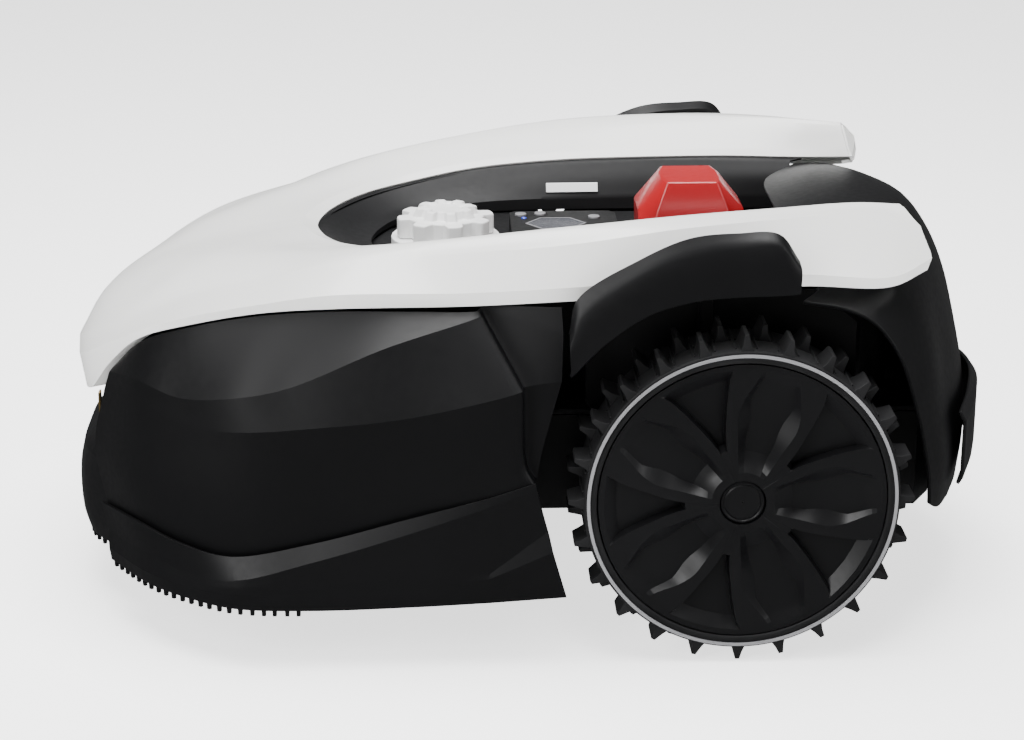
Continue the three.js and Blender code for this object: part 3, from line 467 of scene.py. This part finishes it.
COVER_EDGE = [
    (-240, 104, 266), (-205, 104, 266), (-148, 106, 267), (-88, 109, 266), (-23, 110, 264), (40, 106, 259),
    (90, 92, 252), (115, 76, 249.5), (132, 55, 248), (142, 35, 247), (147, 17, 246.5), (148.5, 8, 246),
    (149, 0, 246),
]
COVER_STEPS, COVER_ROWS = 200, 5
COVER_CREASES = (1, 2, 3, 6)
LIP_MIDDLE, LIP_LENGTH, LIP_WIDTH, LIP_RISE = 20, 0.965, 0.94, 1
END_PEAK = 2.5


def top_cover():
    """The cover with a turned-in lower lip, and a slightly peaked face that closes each arm's rear end."""
    lip = [
        (LIP_MIDDLE + (x - LIP_MIDDLE) * LIP_LENGTH, y * LIP_WIDTH, z + LIP_RISE) for x, y, z in COVER_LOWER
    ]
    rails = [
        lip, COVER_LOWER, COVER_UNDERCUT, COVER_SHOULDER, COVER_BROW, COVER_CREST, COVER_BAND, COVER_EDGE,
    ]
    grid = loft([across_nose(r) for r in rails], COVER_STEPS, COVER_ROWS, COVER_CREASES)
    columns = COVER_STEPS + 1
    verts = [tuple(p) for row in grid for p in row]
    faces = grid_faces(len(grid), columns, True)
    for j in (0, COVER_STEPS):
        end = [i * columns + j for i in range(COVER_ROWS, len(grid))]
        peak = np.mean([verts[k] for k in end], axis=0) + np.array([-END_PEAK, 0, 0])
        verts.append(tuple(peak))
        tip = len(verts) - 1
        ring = list(zip(end, end[1:] + end[:1]))
        faces += [(b, a, tip) if j else (a, b, tip) for a, b in ring]
    return verts, faces


piece(
    "top_cover_fine", *top_cover(), "white_shell", "shell", replaces=["top_cover"], wall=2.6, bevel=0.9,
    segments=3, angle=14,
)

BEZEL_RIM = [
    (-196, 102, 263.5), (-88, 107, 263.5), (-23, 108, 261.5), (40, 104, 256.5), (90, 89, 249.5),
    (116, 71, 246.5), (136, 43, 244.5), (145, 0, 243.5),
]
BEZEL_MIDDLE = [
    (-194, 95, 253), (-88, 99, 252), (-23, 99, 250), (36, 94, 245), (82, 79, 239), (106, 60, 237),
    (120, 36, 236), (127, 0, 236),
]
BEZEL_INNER = [
    (-190, 92, 240), (-88, 93, 240), (-23, 92, 239), (32, 87, 238), (74, 72, 236), (94, 54, 235),
    (106, 32, 234), (112, 0, 234),
]
BEZEL_OVERLAP, BEZEL_DROP, BEZEL_FOOT_Z = 0.6, 1.2, 230.8
BEZEL_LIP = [(x, y + BEZEL_OVERLAP, z - BEZEL_DROP) for x, y, z in COVER_EDGE[1:]]
BEZEL_FOOT = [(x, y - BEZEL_OVERLAP, BEZEL_FOOT_Z) for x, y, z in BEZEL_INNER]
bezel_rails = [across_nose(r) for r in (BEZEL_LIP, BEZEL_RIM, BEZEL_MIDDLE, BEZEL_INNER, BEZEL_FOOT)]
loft_piece(
    "well_bezel_fine", bezel_rails, 140, 6, "black_inner", "shell", sharp=(1, 3), replaces=["well_bezel"],
    wall=1.4, bevel=0.5, angle=30,
)

# ---------------------------------------------------------------- side panels and skirts
PANEL_TOP = [
    (284, 95, 174), (260, 122, 201), (228, 139, 215), (182, 151, 226), (135, 159, 231), (84, 164, 232),
    (41, 167, 233), (38, 162, 234), (-12, 174, 237),
]
PANEL_CREASE = [
    (286, 98, 172), (262, 138, 179), (234, 162, 175), (196, 182, 181), (162, 184, 188), (100, 181, 213),
    (40, 170, 230), (37, 164, 231), (-13, 178, 220),
]
PANEL_BELT = [
    (290, 98, 160), (262, 142, 162), (230, 168, 157), (192, 188, 160), (150, 194, 164), (84, 195, 171),
    (14, 193, 187), (12, 184, 187), (-12, 182, 190),
]
PANEL_FACE = [
    (299, 93, 118), (268, 142, 114), (235, 170, 112), (200, 187, 112), (150, 193, 117), (84, 194, 126),
    (12, 190, 135), (10, 183, 135), (2, 182, 135),
]
PANEL_BOTTOM = [
    (292, 98, 76), (264, 143, 80), (235, 166, 74), (200, 184, 71), (150, 189, 81), (84, 191, 100),
    (6, 191, 123), (4.5, 183, 124), (3, 182, 124),
]
on_both_sides(
    "side_panel", [PANEL_TOP, PANEL_CREASE, PANEL_BELT, PANEL_FACE, PANEL_BOTTOM], 150, 6, "black_shell",
    "shell", sharp=(1, 2), wall=2.8, bevel=1.0, segments=3, angle=5,
)

SKIRT_TOP = [
    (296.5, 97, 77), (267, 145.5, 82), (238, 169.5, 76.5), (202, 188, 73.5), (150, 193, 83.5),
    (84, 195, 101.5), (35, 195.5, 114.5), (5, 195, 124),
]
SKIRT_LEDGE = [
    (291, 106, 62), (262, 150, 64), (236, 172, 60), (200, 195, 61), (150, 199, 74), (84, 199, 94),
    (35, 197, 110), (4, 195.5, 120),
]
SKIRT_FOLD = [
    (291, 108, 56), (262, 151, 57), (235, 174, 54), (200, 196, 56), (150, 199.5, 64), (84, 200, 78),
    (35, 199.8, 65), (-3, 196.5, 93),
]
SKIRT_FACE = [
    (291, 110, 50), (262, 152, 50), (235, 175, 49), (200, 196, 51), (150, 200, 54), (84, 201, 58),
    (35, 201, 62), (-6, 201, 80),
]
SKIRT_BOTTOM = [
    (290, 109, 41), (260, 150, 40), (233, 174, 40), (200, 193, 40), (150, 198, 40), (84, 199, 42),
    (35, 199.5, 44.5), (-15, 200, 48),
]
SKIRT_OVERLAP = 1.3
SKIRT_RIM = [(x, y, z + SKIRT_OVERLAP) for x, y, z in SKIRT_TOP]
on_both_sides(
    "skirt", [SKIRT_RIM, SKIRT_LEDGE, SKIRT_FOLD, SKIRT_FACE, SKIRT_BOTTOM], 96, 4, "black_shell", "shell",
    sharp=(1, 2, 3), straight=16, wall=2.1, bevel=0.8, segments=3, angle=12,
)


TOOTH_SIZE, TOOTH_TAPER = (2.6, 2.3, 6.2), 1.15
TOOTH_INSET, TOOTH_DROP, TOOTH_COUNT = 1.5, 0.9, 22


def comb(name, rail, reach, facing):
    """A row of small tapered teeth under the first share (reach) of a bottom edge."""
    points = curve_points(rail, 400)
    lengths = np.concatenate([[0], np.cumsum(np.linalg.norm(np.diff(points, axis=0), axis=1))])
    verts, faces = [], []
    for i in range(TOOTH_COUNT):
        at = (i + 0.5) / TOOTH_COUNT * reach * lengths[-1]
        k = min(int(np.searchsorted(lengths, at)), len(points) - 2)
        along = points[k + 1] - points[k - 1]
        turn = math.degrees(math.atan2(along[1], along[0]))
        inward = np.array([along[1], -along[0], 0]) / np.linalg.norm(along[:2]) * -TOOTH_INSET * facing
        centre = points[k] + inward
        centre[2] -= TOOTH_DROP
        block(verts, faces, centre, TOOTH_SIZE, TOOTH_TAPER, turn)
    piece(name, verts, faces, "black_shell", "shell", bevel=0.35)


comb("left_skirt_comb", SKIRT_BOTTOM, 0.5, 1)
comb("right_skirt_comb", mirror_y(SKIRT_BOTTOM), 0.5, -1)

# ---------------------------------------------------------------- bumpers
# height, nose, side and half width of the tucked edge
BUMPER_LEVELS = [
    (41, 314.5, 293, 113), (56, 318.5, 297, 112), (86, 318.5, 299, 103), (104, 314.5, 299, 102),
    (116, 302, 296, 102), (128, 298, 293, 102), (148, 294, 288, 101), (165, 288, 280, 99),
]
BUMPER_HALF_WIDTH, TUCK_BACK = 90, 17
REAR_BUMPER_HALF_WIDTH = 116
REAR_BUMPER_LEVELS = [(90, -314.5, -286), (95, -318.5, -289), (136, -318.5, -289), (143, -313.5, -285)]


def level_rail(z, tip, side, half_width, shoulder_share, shoulder_width, ends=()):
    shoulder = side + (tip - side) * shoulder_share
    half = list(ends) or [(side, half_width, z)]
    half += [(shoulder, half_width * shoulder_width, z)]
    return half + [(tip, 0, z)] + mirror_y(half)[::-1]


def front_rail(z, tip, side, tuck):
    ends = [(side - TUCK_BACK, tuck, z), (side - TUCK_BACK / 3, BUMPER_HALF_WIDTH, z)]
    return level_rail(z, tip, side, BUMPER_HALF_WIDTH, 0.75, 0.62, ends)


front_levels = [front_rail(*row) for row in BUMPER_LEVELS]
loft_piece(
    "front_bumper_fine", front_levels, 72, 4, "black_shell", "shell", sharp=(3, 4), replaces=["front_bumper"],
    wall=2.6, bevel=0.8, segments=3, angle=16,
)
comb("front_bumper_comb", front_levels[0][1:-1], 1, -1)
rear_levels = [level_rail(*row, -REAR_BUMPER_HALF_WIDTH, 0.58, 0.55) for row in REAR_BUMPER_LEVELS]
loft_piece(
    "rear_bumper_fine", rear_levels, 60, 4, "black_inner", "shell", sharp=(1, 2), replaces=["rear_bumper"],
    wall=2.6, bevel=1.2, segments=3, angle=16,
)

# ---------------------------------------------------------------- fenders and rear body
FENDER_INNER = [
    (-16, 183, 222), (-22, 182, 242), (-58, 181, 267), (-91, 181, 281), (-121, 181, 285), (-146, 181, 284),
    (-159, 183, 268),
]
FENDER_TOP = [
    (-16, 191, 226), (-21, 190, 247), (-59, 190, 272), (-91, 190, 286), (-121, 190, 289), (-147, 190, 288),
    (-160, 191, 271),
]
FENDER_CREASE = [
    (-16, 197, 218), (-24, 196, 236), (-60, 196, 263), (-92, 196, 275), (-122, 196, 280), (-147, 197, 281),
    (-161, 197, 266),
]
FENDER_LIP = [
    (-17, 199, 198), (-36, 200, 218), (-64, 200, 238), (-92, 200, 247), (-121, 200, 250), (-145, 201, 251),
    (-160, 201, 252),
]
FENDER_UNDER = [
    (-20, 188, 196), (-39, 188, 216), (-66, 188, 235), (-93, 188, 244), (-121, 188, 247), (-144, 188, 248),
    (-158, 188, 249),
]
on_both_sides(
    "fender", [FENDER_INNER, FENDER_TOP, FENDER_CREASE, FENDER_LIP, FENDER_UNDER], 60, 5, "black_shell",
    "shell", sharp=(1, 3), wall=2.2, bevel=1.2, segments=3, angle=16,
)

TAIL_CENTRE = [
    (-167, 0, 262), (-205, 0, 270), (-240, 0, 271), (-260, 0, 264), (-276, 0, 245), (-289, 0, 217),
    (-299, 0, 180), (-307, 0, 141), (-309, 0, 110), (-306, 0, 78),
]
TAIL_INNER = [
    (-172, 60, 261), (-207, 60, 267.5), (-238, 60, 266), (-255, 60, 257), (-269, 60, 239), (-280, 60, 211),
    (-289, 60, 176), (-296, 60, 140), (-299, 60, 110), (-296, 60, 78),
]
TAIL_OUTER = [
    (-200, 105, 261), (-216, 106, 261), (-233, 108, 257.5), (-246, 110, 244), (-257, 110, 228),
    (-266, 110, 202), (-273, 110, 170), (-279, 110, 138), (-282, 110, 110), (-280, 110, 80),
]
TAIL_CORNER = [
    (-182, 148, 243), (-206, 149, 242), (-228, 148, 238), (-240, 146, 226), (-248, 146, 212),
    (-256, 147, 190), (-262, 147, 162), (-267, 147, 134), (-269, 146, 112), (-266, 146, 86),
]
TAIL_ARCH = [
    (-166, 172, 239), (-192, 175, 235), (-211, 176, 226), (-224, 176, 212), (-233, 176, 196),
    (-240, 175, 176), (-246, 174, 156), (-251, 171, 135), (-255, 168, 116), (-257, 165, 96),
]
tail = [TAIL_ARCH, TAIL_CORNER, TAIL_OUTER, TAIL_INNER, TAIL_CENTRE]
tail_rails = (tail + [mirror_y(r) for r in tail[:-1][::-1]])[::-1]
loft_piece(
    "rear_body_fine", tail_rails, 90, 5, "black_shell", "shell", sharp=(2, 6), replaces=["rear_body"],
    wall=2.8, bevel=1.0, segments=3, angle=14,
)

# ---------------------------------------------------------------- drive wheels
AXLE_X, AXLE_Z, FACE_Y = -128, 112, 200
TYRE_R, LUG_TIP_R, RIM_R = 102.5, 112, 94
HALF_SECTOR = 36
WISHBONES = [51 + 2 * HALF_SECTOR * k for k in range(5)]
LUG_PAIRS, RIM_RIBS = 24, 10


def level(r, table):
    """Straight-line value between the rows of a [radius, value] table."""
    return float(np.interp(r, [row[0] for row in table], [row[1] for row in table]))


LEG_DEPTH = [(0, -2.5), (25, -2.5), (89, -4.2), (94, -4.2)]
PANEL_DEPTH = [
    (0, -2.5), (20, -2.5), (26, -6.5), (33, -9.5), (45, -9.7), (81, -7.5), (90, -4.2), (94, -4.2),
]
POCKET_DEPTH = [(0, -2.5), (36, -2.8), (38, -11.5), (82, -10), (90, -4.2), (94, -4.2)]
POCKET_HALF = [(0, 4), (36, 4), (38, 5), (60, 10), (84, 14), (90, 15.5), (94, 15.5)]
LEG_HALF = [(0, 11), (25, 11), (40, 13.6), (57, 15.2), (63, 17), (70, 19.8), (80, 24.5), (87, 27), (94, 28)]
FLANK = [(0, 9), (25, 9), (40, 7.4), (50, 9.4), (57, 9.6), (63, 6.8), (70, 3.6), (80, 2.2), (94, 1.8)]
COVER_RADII = [
    15.1, 18, 20, 23, 26, 29, 33, 36, 38, 42, 46, 50, 54, 58, 62, 66, 70, 74, 78, 82, 85, 88, 90, 92.2,
    93.2,
]


def wheel_cover():
    """A turbine cover: five wishbones with a sunk pocket each, and sunk panels between them."""
    verts = []
    for r in COVER_RADII:
        pocket, leg, flank = level(r, POCKET_HALF), level(r, LEG_HALF), level(r, FLANK)
        stops = [
            (0, POCKET_DEPTH), (pocket * 0.5, POCKET_DEPTH), (pocket, POCKET_DEPTH), (pocket + 0.8, LEG_DEPTH),
            ((pocket + leg) / 2, LEG_DEPTH), (leg, LEG_DEPTH), (min(leg + flank, HALF_SECTOR - 1), PANEL_DEPTH),
        ]
        half = stops + [((stops[-1][0] + HALF_SECTOR) / 2, PANEL_DEPTH)]
        sector = [(-HALF_SECTOR, PANEL_DEPTH)] + [(-a, t) for a, t in half[:0:-1]] + half
        for centre in WISHBONES:
            for offset, table in sector:
                angle = math.radians(centre + offset)
                verts.append((-r * math.sin(angle), level(r, table), r * math.cos(angle)))
    columns = len(verts) // len(COVER_RADII)
    return verts, grid_faces(len(COVER_RADII), columns, closed=True)


def lug(verts, faces, angle, y0, y1):
    """A wedge-shaped tread block: wide at its root, narrow at its tip, with a raked end."""
    first = len(verts)
    for r, half, rake in ((TYRE_R - 2.5, 5, 0), (TYRE_R + 3.4, 2.7, 0.6), (LUG_TIP_R, 1.45, 2.8)):
        for y, w in ((y0 + rake * 0.4, -half), (y0 + rake * 0.4, half), (y1 - rake, half), (y1 - rake, -half)):
            c, s = math.cos(angle), math.sin(angle)
            verts.append((r * s + w * c, y, r * c - w * s))
    for k in range(2):
        for i in range(4):
            j = (i + 1) % 4
            a = first + 4 * k
            faces.append((a + i, a + j, a + 4 + j, a + 4 + i))
    faces += [(first + 3, first + 2, first + 1, first), tuple(first + 8 + i for i in range(4))]


def tyre():
    profile = [
        (RIM_R, -1.8), (95.2, -1.2), (97.4, -1.5), (101.0, -1.5), (102.0, -2.4), (102.5, -5), (102.5, -24.4),
        (101.7, -25.2), (101.7, -26.8), (102.5, -27.6), (102.5, -48), (101.6, -51), (99, -52), (RIM_R, -52),
    ]
    verts, faces = turned(profile, 192, (0, 0, 0))
    step = math.pi / LUG_PAIRS
    for i in range(LUG_PAIRS):
        lug(verts, faces, 2 * i * step, -27, -2.2)
        lug(verts, faces, (2 * i + 1) * step, -51.2, -25)
    for i in range(2 * LUG_PAIRS):
        angle = (i + 0.5) * step
        c, s = math.cos(angle), math.sin(angle)
        first = len(verts)
        for r, w in ((TYRE_R - 1, 1.1), (TYRE_R + 1.1, 0.6)):
            for y, side in ((-48, -w), (-48, w), (-6, w), (-6, -w)):
                verts.append((r * s + side * c, y, r * c - side * s))
        box_faces(faces, first)
    return verts, faces


def wheel_rim():
    profile = [
        (8.15, -16), (22, -16), (26, -24), (81, -24), (93.5, -14), (93.5, -46), (90.5, -46), (87.5, -32),
        (81, -30), (14, -34), (8.15, -34),
    ]
    verts, faces = turned(profile, 128, (0, 0, 0))
    for k in range(RIM_RIBS):
        a = 2 * math.pi * k / RIM_RIBS
        c, s = math.cos(a), math.sin(a)
        first = len(verts)
        for r, back in ((16, -34.5), (83, -32.6)):
            for y, w in ((-28, -1.4), (-28, 1.4), (back - 6, 1.1), (back - 6, -1.1)):
                verts.append((r * s + w * c, y, r * c - w * s))
        box_faces(faces, first)
    return verts, faces


def hub_cap():
    profile = [
        (0.3, -1.9), (11.2, -1.7), (11.8, -2.5), (12.5, -2.5), (13.1, -1.7), (14.2, -2.0), (14.8, -3.2),
        (14.8, -12), (0.3, -12),
    ]
    return turned(profile, 96, (0, 0, 0))


def trim_ring():
    profile = [(98.2, -1), (98.2, -0.3), (98.5, 0), (100.1, 0), (100.4, -0.3), (100.4, -1)]
    return turned(profile, 192, (0, 0, 0))


def drive_wheel(side, facing):
    """Carries the wheel's pieces from the origin to their axle end."""
    body = f"{side}_wheel"

    def carry(verts):
        return [(AXLE_X + x * facing, (FACE_Y + y) * facing, AXLE_Z + z) for x, y, z in verts]

    def add(name, made, look, closed=True, **options):
        verts, faces = made
        node = f"{side}_{name}"
        obj = piece(f"{node}_fine", carry(verts), faces, look, body, replaces=[node], **options)
        return outward(obj) if closed else obj

    add("tyre", tyre(), "tyre_rubber", bevel=0.5, angle=26)
    add("rim", wheel_rim(), "wheel_black", bevel=0.7, angle=26)
    verts, faces = wheel_cover()
    cover = (verts, [quad[::-1] for quad in faces])
    add("wheel_cover", cover, "wheel_black", closed=False, wall=2.0, bevel=0.55, segments=3, angle=15)
    add("trim_ring", trim_ring(), "trim_grey", bevel=0.15, angle=26)
    add("hub_cap", hub_cap(), "wheel_black", bevel=0.3, angle=26)


drive_wheel("left", 1)
drive_wheel("right", -1)

# ---------------------------------------------------------------- height knob
KNOB_X, KNOB_LOBES, KNOB_TURN = 60, 8, 11.25
LOBE_HEIGHT, NOTCH_DEPTH, LOBE_SQUARENESS = 3.0, 4.4, 3.2
# height, radius and share of the lobes
KNOB_LEVELS = [
    (238.0, 30.5, 1.0), (238.8, 31.0, 1.0), (250.4, 31.0, 1.0), (251.4, 30.6, 1.0), (251.9, 29.8, 1.0),
    (252.0, 28.6, 1.0), (252.0, 24.6, 0.7), (252.1, 21.4, 0.6), (253.0, 20.6, 0.6), (256.6, 18.8, 0.6),
    (257.6, 18.0, 0.6), (258.0, 16.8, 0.6), (257.8, 14.6, 0.5), (256.6, 12.8, 0.4), (256.4, 6.0, 0.1),
    (256.4, 0.4, 0.0),
]


def knob():
    sides = 192
    verts = []
    for z, radius, lobed in KNOB_LEVELS:
        for k in range(sides):
            a = 2 * math.pi * k / sides
            swing = math.cos(KNOB_LOBES * (a - math.radians(KNOB_TURN)))
            wave = math.tanh(LOBE_SQUARENESS * swing) / math.tanh(LOBE_SQUARENESS)
            r = radius + (LOBE_HEIGHT if wave > 0 else NOTCH_DEPTH) * wave * lobed
            verts.append((KNOB_X + r * math.cos(a), r * math.sin(a), z))
    return verts, tube_faces(len(KNOB_LEVELS), sides)


outward(piece("height_knob_fine", *knob(), "white_knob", "knob", replaces=["height_knob"], bevel=0.5, angle=32))

# ---------------------------------------------------------------- console, STOP block and fixings
CONSOLE_Z = 241
LENS_AT, LENS_R = (-18, -14), 21


def hexagon_frame():
    """A raised hexagonal frame round the display, longer along X than along Y."""
    verts, faces = [], []
    outer, inner, low, high = LENS_R + 0.6, LENS_R - 0.9, CONSOLE_Z - 0.2, CONSOLE_Z + 0.45
    for radius, z in ((outer, low), (outer, high), (inner, high), (inner, low)):
        for k in range(6):
            a = k * math.pi / 3
            verts.append((LENS_AT[0] + radius * math.cos(a), LENS_AT[1] + radius * 0.8 * math.sin(a), z))
    for i in range(4):
        for k in range(6):
            n, j = (k + 1) % 6, (i + 1) % 4
            faces.append((i * 6 + k, i * 6 + n, j * 6 + n, j * 6 + k))
    return verts, faces


outward(piece("display_frame", *hexagon_frame(), "trim_grey", "chassis", bevel=0.12, angle=30))

LAMP_AT = (4, -29, CONSOLE_Z)
LAMP_PROFILE = [(0.1, 0.9), (1.2, 0.8), (1.9, 0.35), (2.1, -0.4), (0.1, -0.4)]
lamp = turned(LAMP_PROFILE, 32, LAMP_AT, "z")
outward(piece("status_lamp", *lamp, "lamp_blue", "chassis", bevel=0.1, slot="lens"))

STOP_X = -110
for side, y in (("left", 31), ("right", -31)):
    verts, faces = [], []
    block(verts, faces, (STOP_X, y, 247.2), (43, 0.9, 18))
    piece(f"stop_{side}_inset", verts, faces, "red_inset", "stop", bevel=0.35, segments=3, slot="red_button")

# A plain pale plate that leans with the well's far wall.
verts = [
    (-15, -96.6, 249.2), (-53, -96.6, 249.4), (-53, -93.2, 243.4), (-15, -93.2, 243.2),
    (-15, -97.8, 249.2), (-53, -97.8, 249.4), (-53, -94.4, 243.4), (-15, -94.4, 243.2),
]
faces = [(0, 1, 2, 3), (7, 6, 5, 4), (0, 4, 5, 1), (1, 5, 6, 2), (2, 6, 7, 3), (3, 7, 4, 0)]
outward(piece("well_plate", verts, faces, "white_knob", "shell", bevel=0.3))


HATCH_SCREWS = [(-256, -66), (-256, 66), (-169, -66), (-169, 66)]
TUB_SCREWS = [
    (-60, -118), (-60, 118), (20, -132), (20, 132), (190, -130), (190, 130), (262, -52), (262, 52),
]
DISC_X, DISC_SCREW_CIRCLE, DISC_SCREWS = 60, 22, 6
HATCH_SCREW_Z, TUB_SCREW_Z, DISC_SCREW_Z = 80.5, 84, 60
TUB_RIB_Z, TUB_RIB = 82.9, 2.4


def screw(name, x, y, z, body, radius=3.2):
    """A pan-head screw with a round socket, head down."""
    profile = [
        (0.1, -0.5), (1.35, -0.5), (1.45, -1.5), (radius * 0.7, -1.6), (radius, -0.8), (radius, 0.6),
        (0.1, 0.6),
    ]
    made = turned(profile, 32, (x, y, z), "z")
    outward(piece(name, *made, "steel", body, bevel=0.12, angle=30))


for i, (x, y) in enumerate(HATCH_SCREWS):
    screw(f"hatch_screw_{i + 1}", x, y, HATCH_SCREW_Z, "chassis")
for i, (x, y) in enumerate(TUB_SCREWS):
    screw(f"tub_screw_{i + 1}", x, y, TUB_SCREW_Z, "chassis")
for i in range(DISC_SCREWS):
    a = math.radians(30 + 360 / DISC_SCREWS * i)
    x, y = DISC_X + DISC_SCREW_CIRCLE * math.cos(a), DISC_SCREW_CIRCLE * math.sin(a)
    screw(f"disc_screw_{i + 1}", x, y, DISC_SCREW_Z, "disc", 2.6)

# Stiffening ribs across the tub's floor, clear of the deck opening, the castor and the hatch.
verts, faces = [], []
for x in (-140, -110, -80, -50):
    block(verts, faces, (x, 0, TUB_RIB_Z), (TUB_RIB, 190, TUB_RIB))
for y in (-105, -75, 75, 105):
    block(verts, faces, (70, y, TUB_RIB_Z), (230, TUB_RIB, TUB_RIB))
piece("tub_ribs", verts, faces, "black_inner", "chassis", bevel=0.4)

# ---------------------------------------------------------------- the other pieces: their solids, edges rounded
EDGE_WIDTHS = {
    "knob_base": 0.8, "lift_screw": 0.4, "console_tray": 1.0, "console_panel": 1.1, "display_lens": 0.3,
    "power_button": 0.5, "home_button": 0.5, "start_button": 0.5, "stop_button": 1.6, "stop_guide": 0.6,
    "base_pan": 1.2, "chassis_lid": 0.8, "battery_hatch": 0.8, "battery_pack": 1.5, "main_board": 0.2,
    "left_gearmotor": 0.8, "right_gearmotor": 0.8, "left_wheel_liner": 0.8, "right_wheel_liner": 0.8,
    "float_post_front": 0.8, "float_post_rear_left": 0.8, "float_post_rear_right": 0.8, "castor_housing": 0.6,
    "castor_fork": 0.8, "castor_axle": 0.3, "castor_wheel": 1.5, "deck_carrier": 0.8, "cutter_motor": 0.6,
    "cutter_disc": 0.4, "blade_1": 0.15, "blade_2": 0.15, "blade_3": 0.15, "left_axle": 0.5, "right_axle": 0.5,
    "left_charge_contact": 0.3, "right_charge_contact": 0.3,
}
for node_name, width in EDGE_WIDTHS.items():
    refined(node_name, width)


# ---------------------------------------------------------------- return spring of the STOP block
SPRING_R, SPRING_WIRE_R, SPRING_TURNS = 12, 1.2, 5
SPRING_END_TURN, SPRING_END_GAP = 0.16, 0.1


def spring(foot, top):
    """A compression spring with a closed turn at each end, standing between two heights."""
    steps, sides = 240, 14
    closed = 2 * SPRING_WIRE_R + SPRING_END_GAP
    low, high = foot + SPRING_WIRE_R, top - SPRING_WIRE_R
    shares = (0, SPRING_END_TURN, 1 - SPRING_END_TURN, 1)
    heights = (low, low + closed, high - closed, high)
    verts = []
    for i in range(steps + 1):
        t = i / steps
        z = float(np.interp(t, shares, heights))
        a = 2 * math.pi * SPRING_TURNS * t
        for k in range(sides):
            b = 2 * math.pi * k / sides
            r = SPRING_R + SPRING_WIRE_R * math.cos(b)
            verts.append((STOP_X + r * math.cos(a), r * math.sin(a), z + SPRING_WIRE_R * math.sin(b)))
    return verts, tube_faces(steps + 1, sides)


spring_low, spring_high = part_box("stop_spring")
coil_mesh = spring(spring_low.z / MM, spring_high.z / MM)
coil = outward(piece("stop_spring_fine", *coil_mesh, "steel", "chassis", replaces=["stop_spring"]))
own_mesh(coil)
